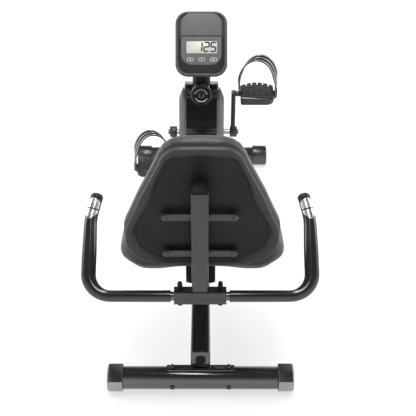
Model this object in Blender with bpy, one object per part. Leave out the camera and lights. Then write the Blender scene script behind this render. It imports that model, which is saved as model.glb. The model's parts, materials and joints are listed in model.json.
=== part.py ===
"""Recumbent exercise bike: +Z up, +Y towards the front, origin on the floor under the middle."""
import bpy
import bmesh
from math import sin, cos, acos, atan2, pi, radians
from mathutils import Vector

# ---- driving dimensions, metres and degrees ----
GAP = 0.0003                    # daylight left between pieces that touch
WALL = 0.002                    # steel tube wall
STABILIZER_SPACING = 1.307
REAR_REACH = 0.0900             # how far the leaning post's head stands behind the rear tube's centre
FRONT_CAP_R = 0.0385
FOOT_FLAT = 0.0008              # depth of the flat that each round front cap stands on
REAR_TUBE_Y = -(STABILIZER_SPACING + FRONT_CAP_R - REAR_REACH) / 2
FRONT_Y = REAR_TUBE_Y + STABILIZER_SPACING
REAR_Y = REAR_TUBE_Y - 0.007    # the line the seat frame and the drive are set out from
REAR_CAP_ACROSS = 0.071
REAR_LENGTH = 0.486
REAR_R = 0.030
REAR_CAP_LENGTH = 0.040
FRONT_LENGTH = 0.510
FRONT_CAP_LENGTH = 0.055
CAP_SOCKET = 0.030
SADDLE_LENGTH = 0.178
SADDLE_WIDTH = 0.022
SADDLE_TONGUE = (0.044, 0.040)  # width and length of the part under the beam
SADDLE_THICK = 0.004
SADDLE_BOLT_X = 0.0735
BEAM_SIZE = 0.051
BEAM_REAR_Y = REAR_TUBE_Y + 0.004
BEAM_FRONT_Y = FRONT_Y + 0.028
RAIL_WIDTH = 0.039
RAIL_HEIGHT = 0.050
RAIL_BOTTOM = 0.226
RAIL_REAR_Y = REAR_Y + 0.076
RAIL_FRONT_Y = REAR_Y + 0.780
LEG_SIZE = 0.038
LEG_YS = (REAR_Y + 0.300, REAR_Y + 0.720)
CARRIAGE_WIDTH = 0.078
CARRIAGE_TOP = 0.2995
CARRIAGE_SHEET = 0.004
CARRIAGE_YS = (REAR_Y + 0.170, REAR_Y + 0.370)
FOOT_BOTTOM = 0.300
POST_SIZE = 0.0395
RECLINE = radians(9.6)
POST_BASE = Vector((0.0, REAR_Y - 0.0126, 0.338))
POST_LENGTH = 0.3045
POST_CAP_RISE = 0.25            # slope of the post's cap, higher towards the backrest
STRAP_HEIGHTS = {"strap_lower": 0.097, "strap_upper": 0.2090}
BAR_R = 0.011
BAR_Y = REAR_Y - 0.0185
BAR_Z = 0.318
BAR_HALF_WIDTH = 0.274
BAR_BEND = 0.056
BAR_RISE = radians(43.0)
ARM_STRAIGHT = 0.122
TIP_BEND = 0.150
TIP_TURN = radians(13.0)
TIP_STRAIGHT = 0.040
GRIP_R = 0.01450
GRIP_START_X = 0.0715
PLATE_SPAN = (0.060, 0.006)       # the pulse plates' ends, measured back from the bar's end
PAD_OFFSET = 0.005              # seat and backrest stand this far right of the post
BRACKET_HALF = 0.0635
BRACKET_REAR_Y = REAR_Y - 0.034
BRACKET_FRONT_Y = REAR_Y - 0.006
BRACKET_TOP = 0.3375
CLAMP_BOTTOM = 0.304
CLAMP_BOLT_X = 0.049
CRANK_Y = REAR_Y + 0.955
CRANK_Z = 0.307
CRANK_R = 0.150
CRANK_LEAN = radians(8.0)       # right crank stands up and leans to the rear
CRANK_X = (0.0940, 0.1080)
CRANK_SHIFT = 0.006             # both cranks and pedals sit this far right of the middle
AXLE_R = 0.0092
PEDAL_X = (0.1240, 0.2350)
PEDAL_TILTS = {-1: radians(5.0), 1: radians(13.0)}
PEDAL_THICK = 0.026
SPINDLE_R = 0.0065
FLYWHEEL_Y = REAR_Y + 1.090
FLYWHEEL_Z = 0.275
FLYWHEEL_R = 0.105
PULLEY_R = 0.085
PINION_R = 0.020
BELT_X = (0.036, 0.048)
SPINE_HALF = 0.0505
SHROUD_HALF = 0.0745
NECK_HALF = 0.0560
SKIN = 0.003
MAST_WIDTH = 0.058
MAST_DEPTH = 0.034
MAST_Y = REAR_Y + 0.947
MAST_LEAN_Y = -0.040
MAST_RISE = 0.200
KNOB_Z = 0.487
KNOB_Y = (REAR_Y + 0.842, REAR_Y + 0.8825)
KNOB_R = 0.0342
CONSOLE_CENTRE = Vector((0.0, REAR_Y + 0.880, 0.648))
CONSOLE_TILT = radians(32.0)
CONSOLE_SIZE = (0.165, 0.208)
CONSOLE_CORNER = 0.040
CONSOLE_DEPTH = 0.032
DISPLAY_SIZE = (0.098, 0.0395)
DISPLAY_UP = -0.0118
DISPLAY_X = 0.0014
BUTTON_UP = -0.0515
BUTTON_XS = (-0.0355, 0.0015, 0.0385)
BUTTON_SIZE = (0.025, 0.0145)

X_AXIS = Vector((1, 0, 0))
Y_AXIS = Vector((0, 1, 0))
Z_AXIS = Vector((0, 0, 1))
REAR_Z = REAR_CAP_ACROSS / 2
SADDLE_Z = REAR_Z + REAR_R + GAP
BEAM_Z = SADDLE_Z + SADDLE_THICK + GAP
FRONT_Z = FRONT_CAP_R - FOOT_FLAT
FRONT_R = BEAM_Z - GAP - FRONT_Z
POST_UP = Vector((0, -sin(RECLINE), cos(RECLINE)))
BACK_NORMAL = Vector((0, cos(RECLINE), sin(RECLINE)))
POST_FRONT = POST_BASE + Vector((0, POST_SIZE / 2 / cos(RECLINE), 0))
FACE_NORMAL = Vector((0, -cos(CONSOLE_TILT), sin(CONSOLE_TILT)))
FACE_UP = Vector((0, sin(CONSOLE_TILT), cos(CONSOLE_TILT)))
ARM_WAY = Vector((0, cos(BAR_RISE), sin(BAR_RISE)))
BAR_NORMAL = X_AXIS.cross(ARM_WAY)
BAR_CENTRE = Vector((0, BAR_Y, BAR_Z))
PAINT = (0.022, 0.022, 0.024)
PLASTIC = (0.03, 0.03, 0.032)
EMPTIES = {}


# ---- scene and material helpers ----
def clear_scene():
    for item in list(bpy.data.objects):
        bpy.data.objects.remove(item, do_unlink=True)


def principled(name, colour, roughness, metallic):
    material = bpy.data.materials.new(name)
    material.use_nodes = True
    shader = material.node_tree.nodes["Principled BSDF"]
    shader.inputs["Base Color"].default_value = (*colour, 1.0)
    shader.inputs["Roughness"].default_value = roughness
    shader.inputs["Metallic"].default_value = metallic
    material.diffuse_color = (*colour, 1.0)
    return material


def body(name, point, parent=None):
    """An empty on the joint's axis carries the pieces that move together."""
    empty = bpy.data.objects.new("body_" + name, None)
    bpy.context.collection.objects.link(empty)
    empty.location = Vector(point)
    if parent:
        empty.parent = EMPTIES[parent]
        empty.location = Vector(point) - origin_of(parent)
    EMPTIES[name] = empty
    empty["world"] = tuple(point)
    return empty


def origin_of(name):
    return Vector(EMPTIES[name]["world"])


def place(name, mesh_data, owner, look):
    """Link a mesh made in world coordinates, with its origin on its body's empty."""
    colour, roughness, metallic = look
    start = origin_of(owner)
    bmesh.ops.recalc_face_normals(mesh_data, faces=mesh_data.faces)
    bmesh.ops.translate(mesh_data, verts=mesh_data.verts, vec=-start)
    mesh = bpy.data.meshes.new(name)
    mesh_data.to_mesh(mesh)
    mesh_data.free()
    mesh.shade_smooth()
    mesh.set_sharp_from_angle(angle=radians(35))
    piece = bpy.data.objects.new(name, mesh)
    bpy.context.collection.objects.link(piece)
    piece.parent = EMPTIES[owner]
    mesh.materials.append(principled(name, colour, roughness, metallic))
    return piece


def boolean(piece, tool, operation="DIFFERENCE"):
    """Cut or join with a hidden tool that follows the same empty."""
    tool.hide_render = True
    tool.display_type = "WIRE"
    step = piece.modifiers.new(tool.name, "BOOLEAN")
    step.operation = operation
    step.solver = "EXACT"
    step.object = tool


# ---- outline and surface helpers ----
def arc_corner(before, corner, after, radius, steps):
    """Points of a fillet between two straight edges."""
    here = Vector(corner)
    into = (Vector(before) - here).normalized()
    out = (Vector(after) - here).normalized()
    half = acos(max(-1.0, min(1.0, into.dot(out)))) / 2
    reach = radius / (sin(half) / cos(half))
    centre = here + (into + out).normalized() * radius / sin(half)
    first = here + into * reach - centre
    last = here + out * reach - centre
    start = atan2(first.y, first.x)
    turn = (atan2(last.y, last.x) - start + pi) % (2 * pi) - pi
    return [centre + Vector((cos(start + turn * i / steps), sin(start + turn * i / steps))) * radius
            for i in range(steps + 1)]


def rounded(corners, steps=5):
    """A closed outline from corners given as (x, y, fillet radius)."""
    points = []
    for i, (x, y, radius) in enumerate(corners):
        before = corners[i - 1][:2]
        after = corners[(i + 1) % len(corners)][:2]
        if radius:
            points += arc_corner(before, (x, y), after, radius, steps)
        else:
            points.append(Vector((x, y)))
    return points


def mirrored(corners):
    """Complete a half outline by reflecting it in the second axis."""
    return corners + [(-x, y, r) for x, y, r in reversed(corners) if abs(x) > 1e-6]


def rectangle(width, height, radius, steps=3):
    a, b = width / 2, height / 2
    return rounded([(-a, -b, radius), (a, -b, radius), (a, b, radius), (-a, b, radius)], steps)


def circle(radius, sides=20, phase=0.0):
    return [Vector((cos(phase + 2 * pi * i / sides), sin(phase + 2 * pi * i / sides))) * radius
            for i in range(sides)]


def inset(outline, amount):
    """Move every point inwards along its own normal, for an anticlockwise outline."""
    moved = []
    for i, point in enumerate(outline):
        along = outline[(i + 1) % len(outline)] - outline[i - 1]
        moved.append(point + Vector((-along.y, along.x)).normalized() * amount)
    return moved


def lift(outline, origin, u, v):
    """Lay a flat outline in space."""
    return [Vector(origin) + Vector(u) * p.x + Vector(v) * p.y for p in outline]


def skin(rings, loop=False):
    """Join rings of equal length into one closed surface; a plain stack gets filled ends."""
    made = bmesh.new()
    rows = [[made.verts.new(p) for p in ring] for ring in rings]
    count = len(rows[0])
    pairs = list(zip(rows, rows[1:]))
    if loop:
        pairs.append((rows[-1], rows[0]))
    for low, high in pairs:
        for i in range(count):
            j = (i + 1) % count
            made.faces.new((low[i], low[j], high[j], high[i]))
    if not loop:
        made.faces.new(rows[0])
        made.faces.new(rows[-1])
    return made


def prism(outline, start, u, v, way, length):
    """Extrude a flat outline along a direction."""
    first = lift(outline, start, u, v)
    return skin([first, [p + Vector(way) * length for p in first]])


def hollow(outline, wall, start, u, v, way, length):
    """Extrude a tube with open ends."""
    outer = lift(outline, start, u, v)
    inner = lift(inset(outline, wall), start, u, v)
    step = Vector(way) * length
    return skin([outer, [p + step for p in outer], [p + step for p in inner], inner], loop=True)


def box(low, high):
    low, high = Vector(low), Vector(high)
    size = high - low
    outline = [Vector((0, 0)), Vector((size.x, 0)), Vector((size.x, size.y)), Vector((0, size.y))]
    return prism(outline, low, X_AXIS, Y_AXIS, Z_AXIS, size.z)


def turned(profile, base, way, sides=20, loop=False):
    """Turn (radius, distance) pairs about an axis."""
    way = Vector(way)
    u = way.orthogonal().normalized()
    v = way.cross(u)
    return skin([lift(circle(r, sides), Vector(base) + way * d, u, v) for r, d in profile], loop)


def cutter(name, made, owner):
    return place("cut_" + name, made, owner, (PAINT, 0.5, 0.0))


def drill(pieces, name, point, way, radius, length, owner):
    """Make the same round hole in several pieces of one body."""
    made = turned([(radius, 0), (radius, length)], point, way)
    tool = cutter(name, made, owner)
    for piece in pieces:
        boolean(piece, tool)


def flipped(x_pair, side):
    """An x range on the chosen side of the bike, low value first."""
    return sorted((x_pair[0] * side, x_pair[1] * side))


# ---- floor frame ----
def octagon_ring(scale, sides=32):
    """An octagon with a flat foot, drawn with the same number of points as the round socket."""
    points = []
    for i in range(sides):
        angle = 2 * pi * i / sides
        off = (angle + pi / 8) % (pi / 4) - pi / 8
        points.append(Vector((cos(angle), sin(angle))) * REAR_CAP_ACROSS / 2 * scale / cos(off))
    return points


def roller_ring(scale, sides=32):
    """A circle with a narrow flat at its foot."""
    return [Vector((p.x, max(p.y, -FRONT_Z))) for p in circle(FRONT_CAP_R * scale, sides)]


def stabilizer(name, y, z, radius, inner_half):
    half = inner_half + CAP_SOCKET - GAP
    made = hollow(circle(radius, 32), WALL, (-half, y, z), Y_AXIS, Z_AXIS, X_AXIS, 2 * half)
    return place(name, made, "base", (PAINT, 0.32, 0.0))


def end_cap(name, ring_shape, origin, side, tube_radius, inner, outer):
    """A cap with a socket for the tube's end; inner and outer are distances from the middle."""
    chamfer = 0.004
    rings = []
    for x, scale in ((outer, 0.90), (outer - chamfer, 1.0), (inner, 1.0)):
        rings.append(lift(ring_shape(scale), origin + X_AXIS * x * side, Y_AXIS, Z_AXIS))
    for x in (inner, inner + CAP_SOCKET):
        rings.append(lift(circle(tube_radius + GAP, 32), origin + X_AXIS * x * side, Y_AXIS, Z_AXIS))
    place(name, skin(rings), "base", (PLASTIC, 0.42, 0.0))


def saddle(name, y):
    """A narrow cross strip with a tongue that carries the beam's end."""
    a, b = SADDLE_LENGTH / 2, SADDLE_WIDTH / 2
    c, d = SADDLE_TONGUE[0] / 2, b + SADDLE_TONGUE[1]
    corners = [(-a, -b, 0.004), (a, -b, 0.004), (a, b, 0.004), (c, b, 0.006), (c, d, 0.004), (-c, d, 0.004),
               (-c, b, 0.006), (-a, b, 0.004)]
    made = prism(rounded(corners, 3), (0, y, SADDLE_Z), X_AXIS, Y_AXIS, Z_AXIS, SADDLE_THICK)
    return place(name, made, "base", (PAINT, 0.28, 0.0))


def saddle_bolt(name, x, y):
    """Round head under the tube, shank through it, domed nut on the saddle."""
    under = REAR_Z - REAR_R - GAP
    top = SADDLE_Z + SADDLE_THICK + GAP
    profile = [(0.0030, -0.0050), (0.0065, -0.0030), (0.0070, 0.0), (0.0040, 0.0), (0.0040, top - under),
               (0.0065, top - under), (0.0065, top - under + 0.005), (0.0035, top - under + 0.009)]
    place(name, turned(profile, (x, y, under), Z_AXIS, 16), "base", ((0.12, 0.12, 0.12), 0.3, 1.0))


def floor_frame():
    rear_half = REAR_LENGTH / 2 - REAR_CAP_LENGTH
    front_half = FRONT_LENGTH / 2 - FRONT_CAP_LENGTH
    rear = stabilizer("rear_stabilizer", REAR_TUBE_Y, REAR_Z, REAR_R, rear_half)
    stabilizer("front_stabilizer", FRONT_Y, FRONT_Z, FRONT_R, front_half)
    for hand, side in (("left", -1), ("right", 1)):
        end_cap("cap_rear_" + hand, octagon_ring, Vector((0, REAR_TUBE_Y, REAR_Z)), side, REAR_R,
                rear_half, REAR_LENGTH / 2)
        end_cap("cap_front_" + hand, roller_ring, Vector((0, FRONT_Y, FRONT_Z)), side, FRONT_R,
                front_half, FRONT_LENGTH / 2)
    plate = saddle("rear_saddle", REAR_TUBE_Y)
    for hand, side in (("left", -1), ("right", 1)):
        x = SADDLE_BOLT_X * side
        drill([rear, plate], "saddle_" + hand, (x, REAR_TUBE_Y, -0.01), Z_AXIS, 0.0043, 0.12, "base")
        saddle_bolt("saddle_bolt_" + hand, x, REAR_TUBE_Y)


def main_beam():
    outline = rectangle(BEAM_SIZE, BEAM_SIZE, 0.008)
    centre_z = BEAM_Z + BEAM_SIZE / 2
    start = (0, BEAM_REAR_Y, centre_z)
    made = hollow(outline, WALL, start, X_AXIS, Z_AXIS, Y_AXIS, BEAM_FRONT_Y - BEAM_REAR_Y)
    place("main_beam", made, "base", (PAINT, 0.28, 0.0))
    stations = [(WALL + GAP, -0.012), (WALL + GAP, GAP), (0.001, GAP), (0.001, 0.003), (0.005, 0.0045)]
    stack = [lift(inset(outline, i), (0, BEAM_REAR_Y - d, centre_z), X_AXIS, Z_AXIS) for i, d in stations]
    place("beam_plug", skin(stack), "base", (PLASTIC, 0.45, 0.0))


# ---- rail and seat frame ----
def seat_rail():
    centre = (0, RAIL_REAR_Y, RAIL_BOTTOM + RAIL_HEIGHT / 2)
    outline = rectangle(RAIL_WIDTH, RAIL_HEIGHT, 0.006)
    made = hollow(outline, WALL, centre, X_AXIS, Z_AXIS, Y_AXIS, RAIL_FRONT_Y - RAIL_REAR_Y)
    place("seat_rail", made, "base", (PAINT, 0.32, 0.0))
    low = BEAM_Z + BEAM_SIZE + GAP
    for name, y in zip(("rail_leg_rear", "rail_leg_front"), LEG_YS):
        outline = rectangle(LEG_SIZE, LEG_SIZE, 0.005)
        made = hollow(outline, WALL, (0, y, low), X_AXIS, Y_AXIS, Z_AXIS, RAIL_BOTTOM - GAP - low)
        place(name, made, "base", (PAINT, 0.32, 0.0))


def channel(width, bottom, top, thick, y_range):
    """A downward channel of even wall, as one extruded section."""
    a, b = width / 2, width / 2 - thick
    section = [(-a, bottom), (-b, bottom), (-b, top - thick), (b, top - thick), (b, bottom), (a, bottom),
               (a, top), (-a, top)]
    outline = [Vector(p) for p in section]
    return prism(outline, (0, y_range[0], 0), X_AXIS, Z_AXIS, Y_AXIS, y_range[1] - y_range[0])


def seat_carriage():
    made = channel(CARRIAGE_WIDTH, RAIL_BOTTOM, CARRIAGE_TOP, CARRIAGE_SHEET, CARRIAGE_YS)
    carriage = place("seat_carriage", made, "seat", (PAINT, 0.35, 0.0))
    width = CARRIAGE_WIDTH - 2 * CARRIAGE_SHEET - 2 * GAP
    thick = (width - RAIL_WIDTH) / 2 - GAP
    ys = (CARRIAGE_YS[0] + 0.004, CARRIAGE_YS[1] - 0.004)
    made = channel(width, RAIL_BOTTOM + 0.002, CARRIAGE_TOP - CARRIAGE_SHEET - GAP, thick, ys)
    liner = place("carriage_liner", made, "seat", ((0.55, 0.55, 0.52), 0.5, 0.0))
    y = (CARRIAGE_YS[0] + CARRIAGE_YS[1]) / 2
    z = RAIL_BOTTOM + RAIL_HEIGHT / 2
    drill([carriage, liner], "lock_hole", (RAIL_WIDTH / 2, y, z), X_AXIS, 0.0055, 0.04, "seat")
    profile = [(0.0050, 0.0), (0.0050, 0.0215), (0.0100, 0.0235), (0.0100, 0.0280), (0.0165, 0.0310),
               (0.0175, 0.0420), (0.0150, 0.0500), (0.0100, 0.0530)]
    made = turned(profile, (RAIL_WIDTH / 2 + 0.0006, y, z), X_AXIS, 20)
    place("lock_pin", made, "lock_pin", (PLASTIC, 0.4, 0.0))


def seat_foot():
    size = BRACKET_TOP - FOOT_BOTTOM
    start = (0, BRACKET_FRONT_Y + GAP, FOOT_BOTTOM + size / 2 + GAP / 2)
    outline = rectangle(POST_SIZE, size - GAP, 0.005)
    made = hollow(outline, WALL, start, X_AXIS, Z_AXIS, Y_AXIS, 0.410)
    place("seat_foot", made, "seat", (PAINT, 0.32, 0.0))


def back_post():
    outline = rectangle(POST_SIZE, POST_SIZE, 0.004)
    rings = []
    for wall, end in ((0.0, 0), (0.0, 1), (WALL, 1), (WALL, 0)):
        flat = lift(inset(outline, wall), POST_BASE, X_AXIS, BACK_NORMAL)
        if end:
            rings.append([p + POST_UP * POST_LENGTH for p in flat])
        else:
            rings.append([p - POST_UP * ((p.z - POST_BASE.z) / POST_UP.z) for p in flat])
    place("back_post", skin(rings, loop=True), "seat", (PAINT, 0.35, 0.0))
    top = POST_BASE + POST_UP * POST_LENGTH
    rings = []
    for wall, high, rise in ((WALL + GAP, -0.014, 0), (WALL + GAP, GAP, 0), (0.0003, GAP, 0),
                             (0.0003, 0.0025, POST_CAP_RISE), (0.004, 0.0045, POST_CAP_RISE)):
        ring = lift(inset(outline, wall), top + POST_UP * high, X_AXIS, BACK_NORMAL)
        rings.append([p + POST_UP * rise * ((p - top).dot(BACK_NORMAL) + POST_SIZE / 2) for p in ring])
    place("post_cap", skin(rings), "seat", (PLASTIC, 0.4, 0.0))


# ---- handlebar ----
def bar_station(s, side):
    """Centre and direction of the bar at a distance s along it from the middle."""
    straight = BAR_HALF_WIDTH - BAR_BEND
    bend = BAR_BEND * pi / 2
    across = X_AXIS * side
    if s <= straight:
        return BAR_CENTRE + across * s, across
    s -= straight
    if s <= bend:
        a = s / BAR_BEND
        at = across * (straight + BAR_BEND * sin(a)) + ARM_WAY * BAR_BEND * (1 - cos(a))
        return BAR_CENTRE + at, across * cos(a) + ARM_WAY * sin(a)
    s -= bend
    corner = BAR_CENTRE + across * BAR_HALF_WIDTH + ARM_WAY * BAR_BEND
    if s <= ARM_STRAIGHT:
        return corner + ARM_WAY * s, ARM_WAY
    s -= ARM_STRAIGHT
    corner += ARM_WAY * ARM_STRAIGHT
    a = min(s / TIP_BEND, TIP_TURN)
    at = corner - across * TIP_BEND * (1 - cos(a)) + ARM_WAY * TIP_BEND * sin(a)
    way = ARM_WAY * cos(a) - across * sin(a)
    return at + way * (s - a * TIP_BEND), way


def bar_lengths(first, last):
    """Distances along the bar: close together in the bends and at their ends elsewhere."""
    straight = BAR_HALF_WIDTH - BAR_BEND
    bend_end = straight + BAR_BEND * pi / 2
    tip_start = bend_end + ARM_STRAIGHT
    tip_end = tip_start + TIP_BEND * TIP_TURN
    marks = [straight + (bend_end - straight) * i / 6 for i in range(7)]
    marks += [tip_start + (tip_end - tip_start) * i / 2 for i in range(3)]
    return [first] + [m for m in marks if first + 0.001 < m < last - 0.001] + [last]


BAR_END = (BAR_HALF_WIDTH - BAR_BEND + BAR_BEND * pi / 2 + ARM_STRAIGHT + TIP_BEND * TIP_TURN
           + TIP_STRAIGHT)


def bar_ring(s, side, radius, sides=14):
    centre, way = bar_station(s, side)
    return lift(circle(radius, sides), centre, BAR_NORMAL, way.cross(BAR_NORMAL) * side)


def grip_sleeve(side):
    """A long sleeve over the bar, closed by a domed head past the bar's end."""
    marks = bar_lengths(GRIP_START_X, BAR_END + 0.001)
    rings = [bar_ring(s, side, BAR_R + GAP) for s in reversed(marks)]
    rings += [bar_ring(s, side, GRIP_R) for s in marks]
    dome = ((GRIP_R + 0.0008, 0.0015), (GRIP_R + 0.0008, 0.0080), (GRIP_R - 0.002, 0.0110), (0.007, 0.0125))
    rings += [bar_ring(BAR_END + d, side, r) for r, d in dome]
    return skin(rings)


def handlebar():
    marks = bar_lengths(0.0, BAR_END)
    route = [(s, -1) for s in reversed(marks)] + [(s, 1) for s in marks[1:]]
    rings = [bar_ring(s, side, BAR_R) for s, side in route]
    rings += [bar_ring(s, side, BAR_R - WALL) for s, side in reversed(route)]
    bar = place("handlebar", skin(rings, loop=True), "seat", (PAINT, 0.3, 0.0))
    for hand, side in (("left", -1), ("right", 1)):
        place("grip_" + hand, grip_sleeve(side), "seat", ((0.02, 0.02, 0.021), 0.45, 0.0))
        pulse_plate("pulse_plate_" + hand, side)
    return bar


def pulse_plate(name, side):
    """A thin metal shell over the upper side of the hand grip."""
    first, last = BAR_END - PLATE_SPAN[0], BAR_END - PLATE_SPAN[1]
    spread = radians(76)
    steps = 8
    low, high = GRIP_R + GAP, GRIP_R + 0.0016
    rings = []
    for s in bar_lengths(first, last):
        centre, way = bar_station(s, side)
        u, v = BAR_NORMAL, way.cross(BAR_NORMAL)
        angles = [-spread + 2 * spread * i / steps for i in range(steps + 1)]
        outer = [centre + (u * cos(a) + v * sin(a)) * high for a in angles]
        inner = [centre + (u * cos(a) + v * sin(a)) * low for a in reversed(angles)]
        rings.append(outer + inner)
    place(name, skin(rings), "seat", ((0.75, 0.75, 0.76), 0.15, 1.0))


def bar_bracket(bar):
    half, r = BRACKET_HALF, BAR_R + GAP
    low, high = (-half, BRACKET_REAR_Y, BAR_Z + GAP), (half, BRACKET_FRONT_Y, BRACKET_TOP)
    block = place("bar_bracket", box(low, high), "seat", (PAINT, 0.35, 0.0))
    low, high = (-half, BRACKET_REAR_Y, CLAMP_BOTTOM), (half, BRACKET_FRONT_Y, BAR_Z - GAP)
    clamp = place("bar_clamp", box(low, high), "seat", (PAINT, 0.35, 0.0))
    drill([block, clamp], "bar_seat", (-half - 0.01, BAR_Y, BAR_Z), X_AXIS, r, 2 * half + 0.02, "seat")
    for hand, side in (("left", -1), ("right", 1)):
        x = CLAMP_BOLT_X * side
        way_in = (x, BAR_Y, CLAMP_BOTTOM - 0.01)
        drill([block, clamp, bar], "clamp_" + hand, way_in, Z_AXIS, 0.0043, 0.06, "seat")
        rise = BRACKET_TOP + GAP - CLAMP_BOTTOM + GAP
        profile = [(0.0030, -0.0045), (0.0062, -0.0030), (0.0072, 0.0), (0.0040, 0.0), (0.0040, rise),
                   (0.0065, rise), (0.0065, rise + 0.004), (0.0060, rise + 0.0045), (0.0060, rise + 0.018),
                   (0.0048, rise + 0.0215), (0.0022, rise + 0.0235)]
        made = turned(profile, (x, BAR_Y, CLAMP_BOTTOM - GAP), Z_AXIS, 16)
        place("clamp_bolt_" + hand, made, "seat", ((0.03, 0.03, 0.03), 0.25, 0.6))


# ---- backrest and seat ----
BACK_OUTLINE = [(0.0, 0.044, 0), (0.098, 0.044, 0.050), (0.160, 0.066, 0.050), (0.190, 0.118, 0.060),
                (0.188, 0.165, 0.080), (0.149, 0.262, 0.250), (0.106, 0.352, 0.100), (0.086, 0.404, 0.060),
                (0.0, 0.406, 0)]
SEAT_OUTLINE = [(0.0, 0.057, 0), (0.055, 0.055, 0.200), (0.105, 0.045, 0.100), (0.162, 0.045, 0.066),
                (0.212, 0.098, 0.066), (0.212, 0.190, 0.100), (0.200, 0.300, 0.150), (0.160, 0.455, 0.070),
                (0.0, 0.462, 0)]


def pad_rings(corners, stations, origin, u, v, way):
    """Rings of a padded form: each station is (inset, distance along the way)."""
    outline = rounded(mirrored(corners), 3)
    return [lift(inset(outline, i), Vector(origin) + way * d, u, v) for i, d in stations]


def strap(name, up):
    """A flat bar across the post, on two spacers that reach the shell."""
    thick, reach, low = 0.004, 0.0150, 0.0005
    outline = rectangle(0.178, 0.019, 0.0094, 6)
    centre = POST_FRONT + POST_UP * up + BACK_NORMAL * low
    bar = place(name, prism(outline, centre, X_AXIS, POST_UP, BACK_NORMAL, thick), "seat", (PAINT, 0.3, 0.0))
    for side in (-1, 1):
        profile = [(0.008, thick / 2), (0.008, reach - low - GAP)]
        made = turned(profile, centre + X_AXIS * 0.076 * side, BACK_NORMAL, 16)
        boolean(bar, cutter(name + "_spacer_" + str(side + 1), made, "seat"), "UNION")


def backrest():
    for name, up in STRAP_HEIGHTS.items():
        strap(name, up)
    shell = [(0.012, 0.0210), (0.010, 0.0150), (0.014, 0.0040), (0.022, 0.0040), (0.0400, 0.0150)]
    cushion = [(0.010, 0.0215), (0.001, 0.0300), (0.0, 0.0420), (0.004, 0.0560), (0.016, 0.0680),
               (0.034, 0.0760)]
    for name, stations, look in (("back_shell", shell, (PLASTIC, 0.45, 0.0)),
                                 ("back_cushion", cushion, ((0.035, 0.034, 0.034), 0.5, 0.0))):
        origin = POST_FRONT + X_AXIS * PAD_OFFSET
        rings = pad_rings(BACK_OUTLINE, stations, origin, X_AXIS, POST_UP, BACK_NORMAL)
        place(name, skin(rings), "seat", look)


def seat():
    base = Vector((PAD_OFFSET, REAR_Y, BRACKET_TOP + GAP))
    board = [(0.034, 0.0), (0.022, 0.0030), (0.016, 0.0110)]
    cushion = [(0.010, 0.0115), (0.001, 0.0200), (0.0, 0.0300), (0.004, 0.0420), (0.014, 0.0540),
               (0.028, 0.0670), (0.050, 0.0820)]
    for name, stations, look in (("seat_board", board, (PLASTIC, 0.5, 0.0)),
                                 ("seat_cushion", cushion, ((0.035, 0.034, 0.034), 0.5, 0.0))):
        rings = pad_rings(SEAT_OUTLINE, stations, base, X_AXIS, Y_AXIS, Z_AXIS)
        place(name, skin(rings), "seat", look)


# ---- drive ----
def crank_tip(side):
    """Centre of the pedal spindle; the cranks are opposite each other."""
    reach = Vector((0, -sin(CRANK_LEAN), cos(CRANK_LEAN))) * CRANK_R
    return Vector((CRANK_SHIFT, CRANK_Y, CRANK_Z)) + reach * side


def crank_arm(name, side):
    """A tapered arm with a thick boss, and the pedal spindle in its far end."""
    centre = Vector((CRANK_SHIFT, CRANK_Y, CRANK_Z))
    way = (crank_tip(side) - centre).normalized()
    across = X_AXIS.cross(way)
    big, small, steps = 0.0165, 0.0120, 8
    half = [(big, -pi / 2, 0.0), (small, pi / 2, CRANK_R)]
    outline = []
    for radius, turn, along in half:
        for i in range(steps + 1):
            a = turn - pi / 2 + pi * i / steps
            outline.append(Vector((cos(a) * radius, along + sin(a) * radius)))
    x0, x1 = flipped(CRANK_X, side)
    arm = place(name, prism(outline, centre + X_AXIS * x0, across, way, X_AXIS, x1 - x0), "crank",
                (PAINT, 0.35, 0.5))
    boss = turned([(big + 0.002, 0), (big + 0.002, 0.024)], centre + X_AXIS * 0.091 * side, X_AXIS * side)
    boolean(arm, cutter(name + "_boss", boss, "crank"), "UNION")
    start = crank_tip(side) + X_AXIS * 0.100 * side
    profile = [(SPINDLE_R, 0), (SPINDLE_R, 0.0080), (0.0090, 0.0085), (0.0090, 0.0228),
               (SPINDLE_R, 0.0233), (SPINDLE_R, 0.1200)]
    boolean(arm, cutter(name + "_spindle", turned(profile, start, X_AXIS * side, 16), "crank"), "UNION")
    drill([arm], name + "_bore", centre + X_AXIS * 0.080 * side, X_AXIS * side, AXLE_R + GAP, 0.040, "crank")


def pedal(side, hand):
    """A thick tread body on its spindle, under a strap that arches over the foot."""
    owner = "pedal_" + hand
    hub = crank_tip(side)
    u = X_AXIS * side
    tilt = PEDAL_TILTS[side]
    fore = Vector((0, cos(tilt), sin(tilt)))
    up = Vector((0, -sin(tilt), cos(tilt)))
    middle = (PEDAL_X[0] + PEDAL_X[1]) / 2
    width = PEDAL_X[1] - PEDAL_X[0]
    half = width / 2
    corners = [(-half, -0.047, 0.008), (half, -0.047, 0.026), (half, 0.034, 0.026), (0.0, 0.060, 0.060),
               (-half, 0.034, 0.018)]
    base = hub + u * middle - up * PEDAL_THICK / 2
    rim = 0.002
    outline = rounded(corners, 4)
    stack = [(rim, 0), (0, rim), (0, PEDAL_THICK - rim), (rim, PEDAL_THICK)]
    rings = [lift(inset(outline, i), base + up * d, u, fore) for i, d in stack]
    body_piece = place(owner + "_body", skin(rings), owner, (PLASTIC, 0.5, 0.0))
    start = hub + X_AXIS * (PEDAL_X[0] - 0.01) * side
    drill([body_piece], owner + "_bore", start, X_AXIS * side, SPINDLE_R + GAP, 0.130, owner)
    foot_strap(owner + "_strap", owner, hub + u * middle, u, fore, up, half)


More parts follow.
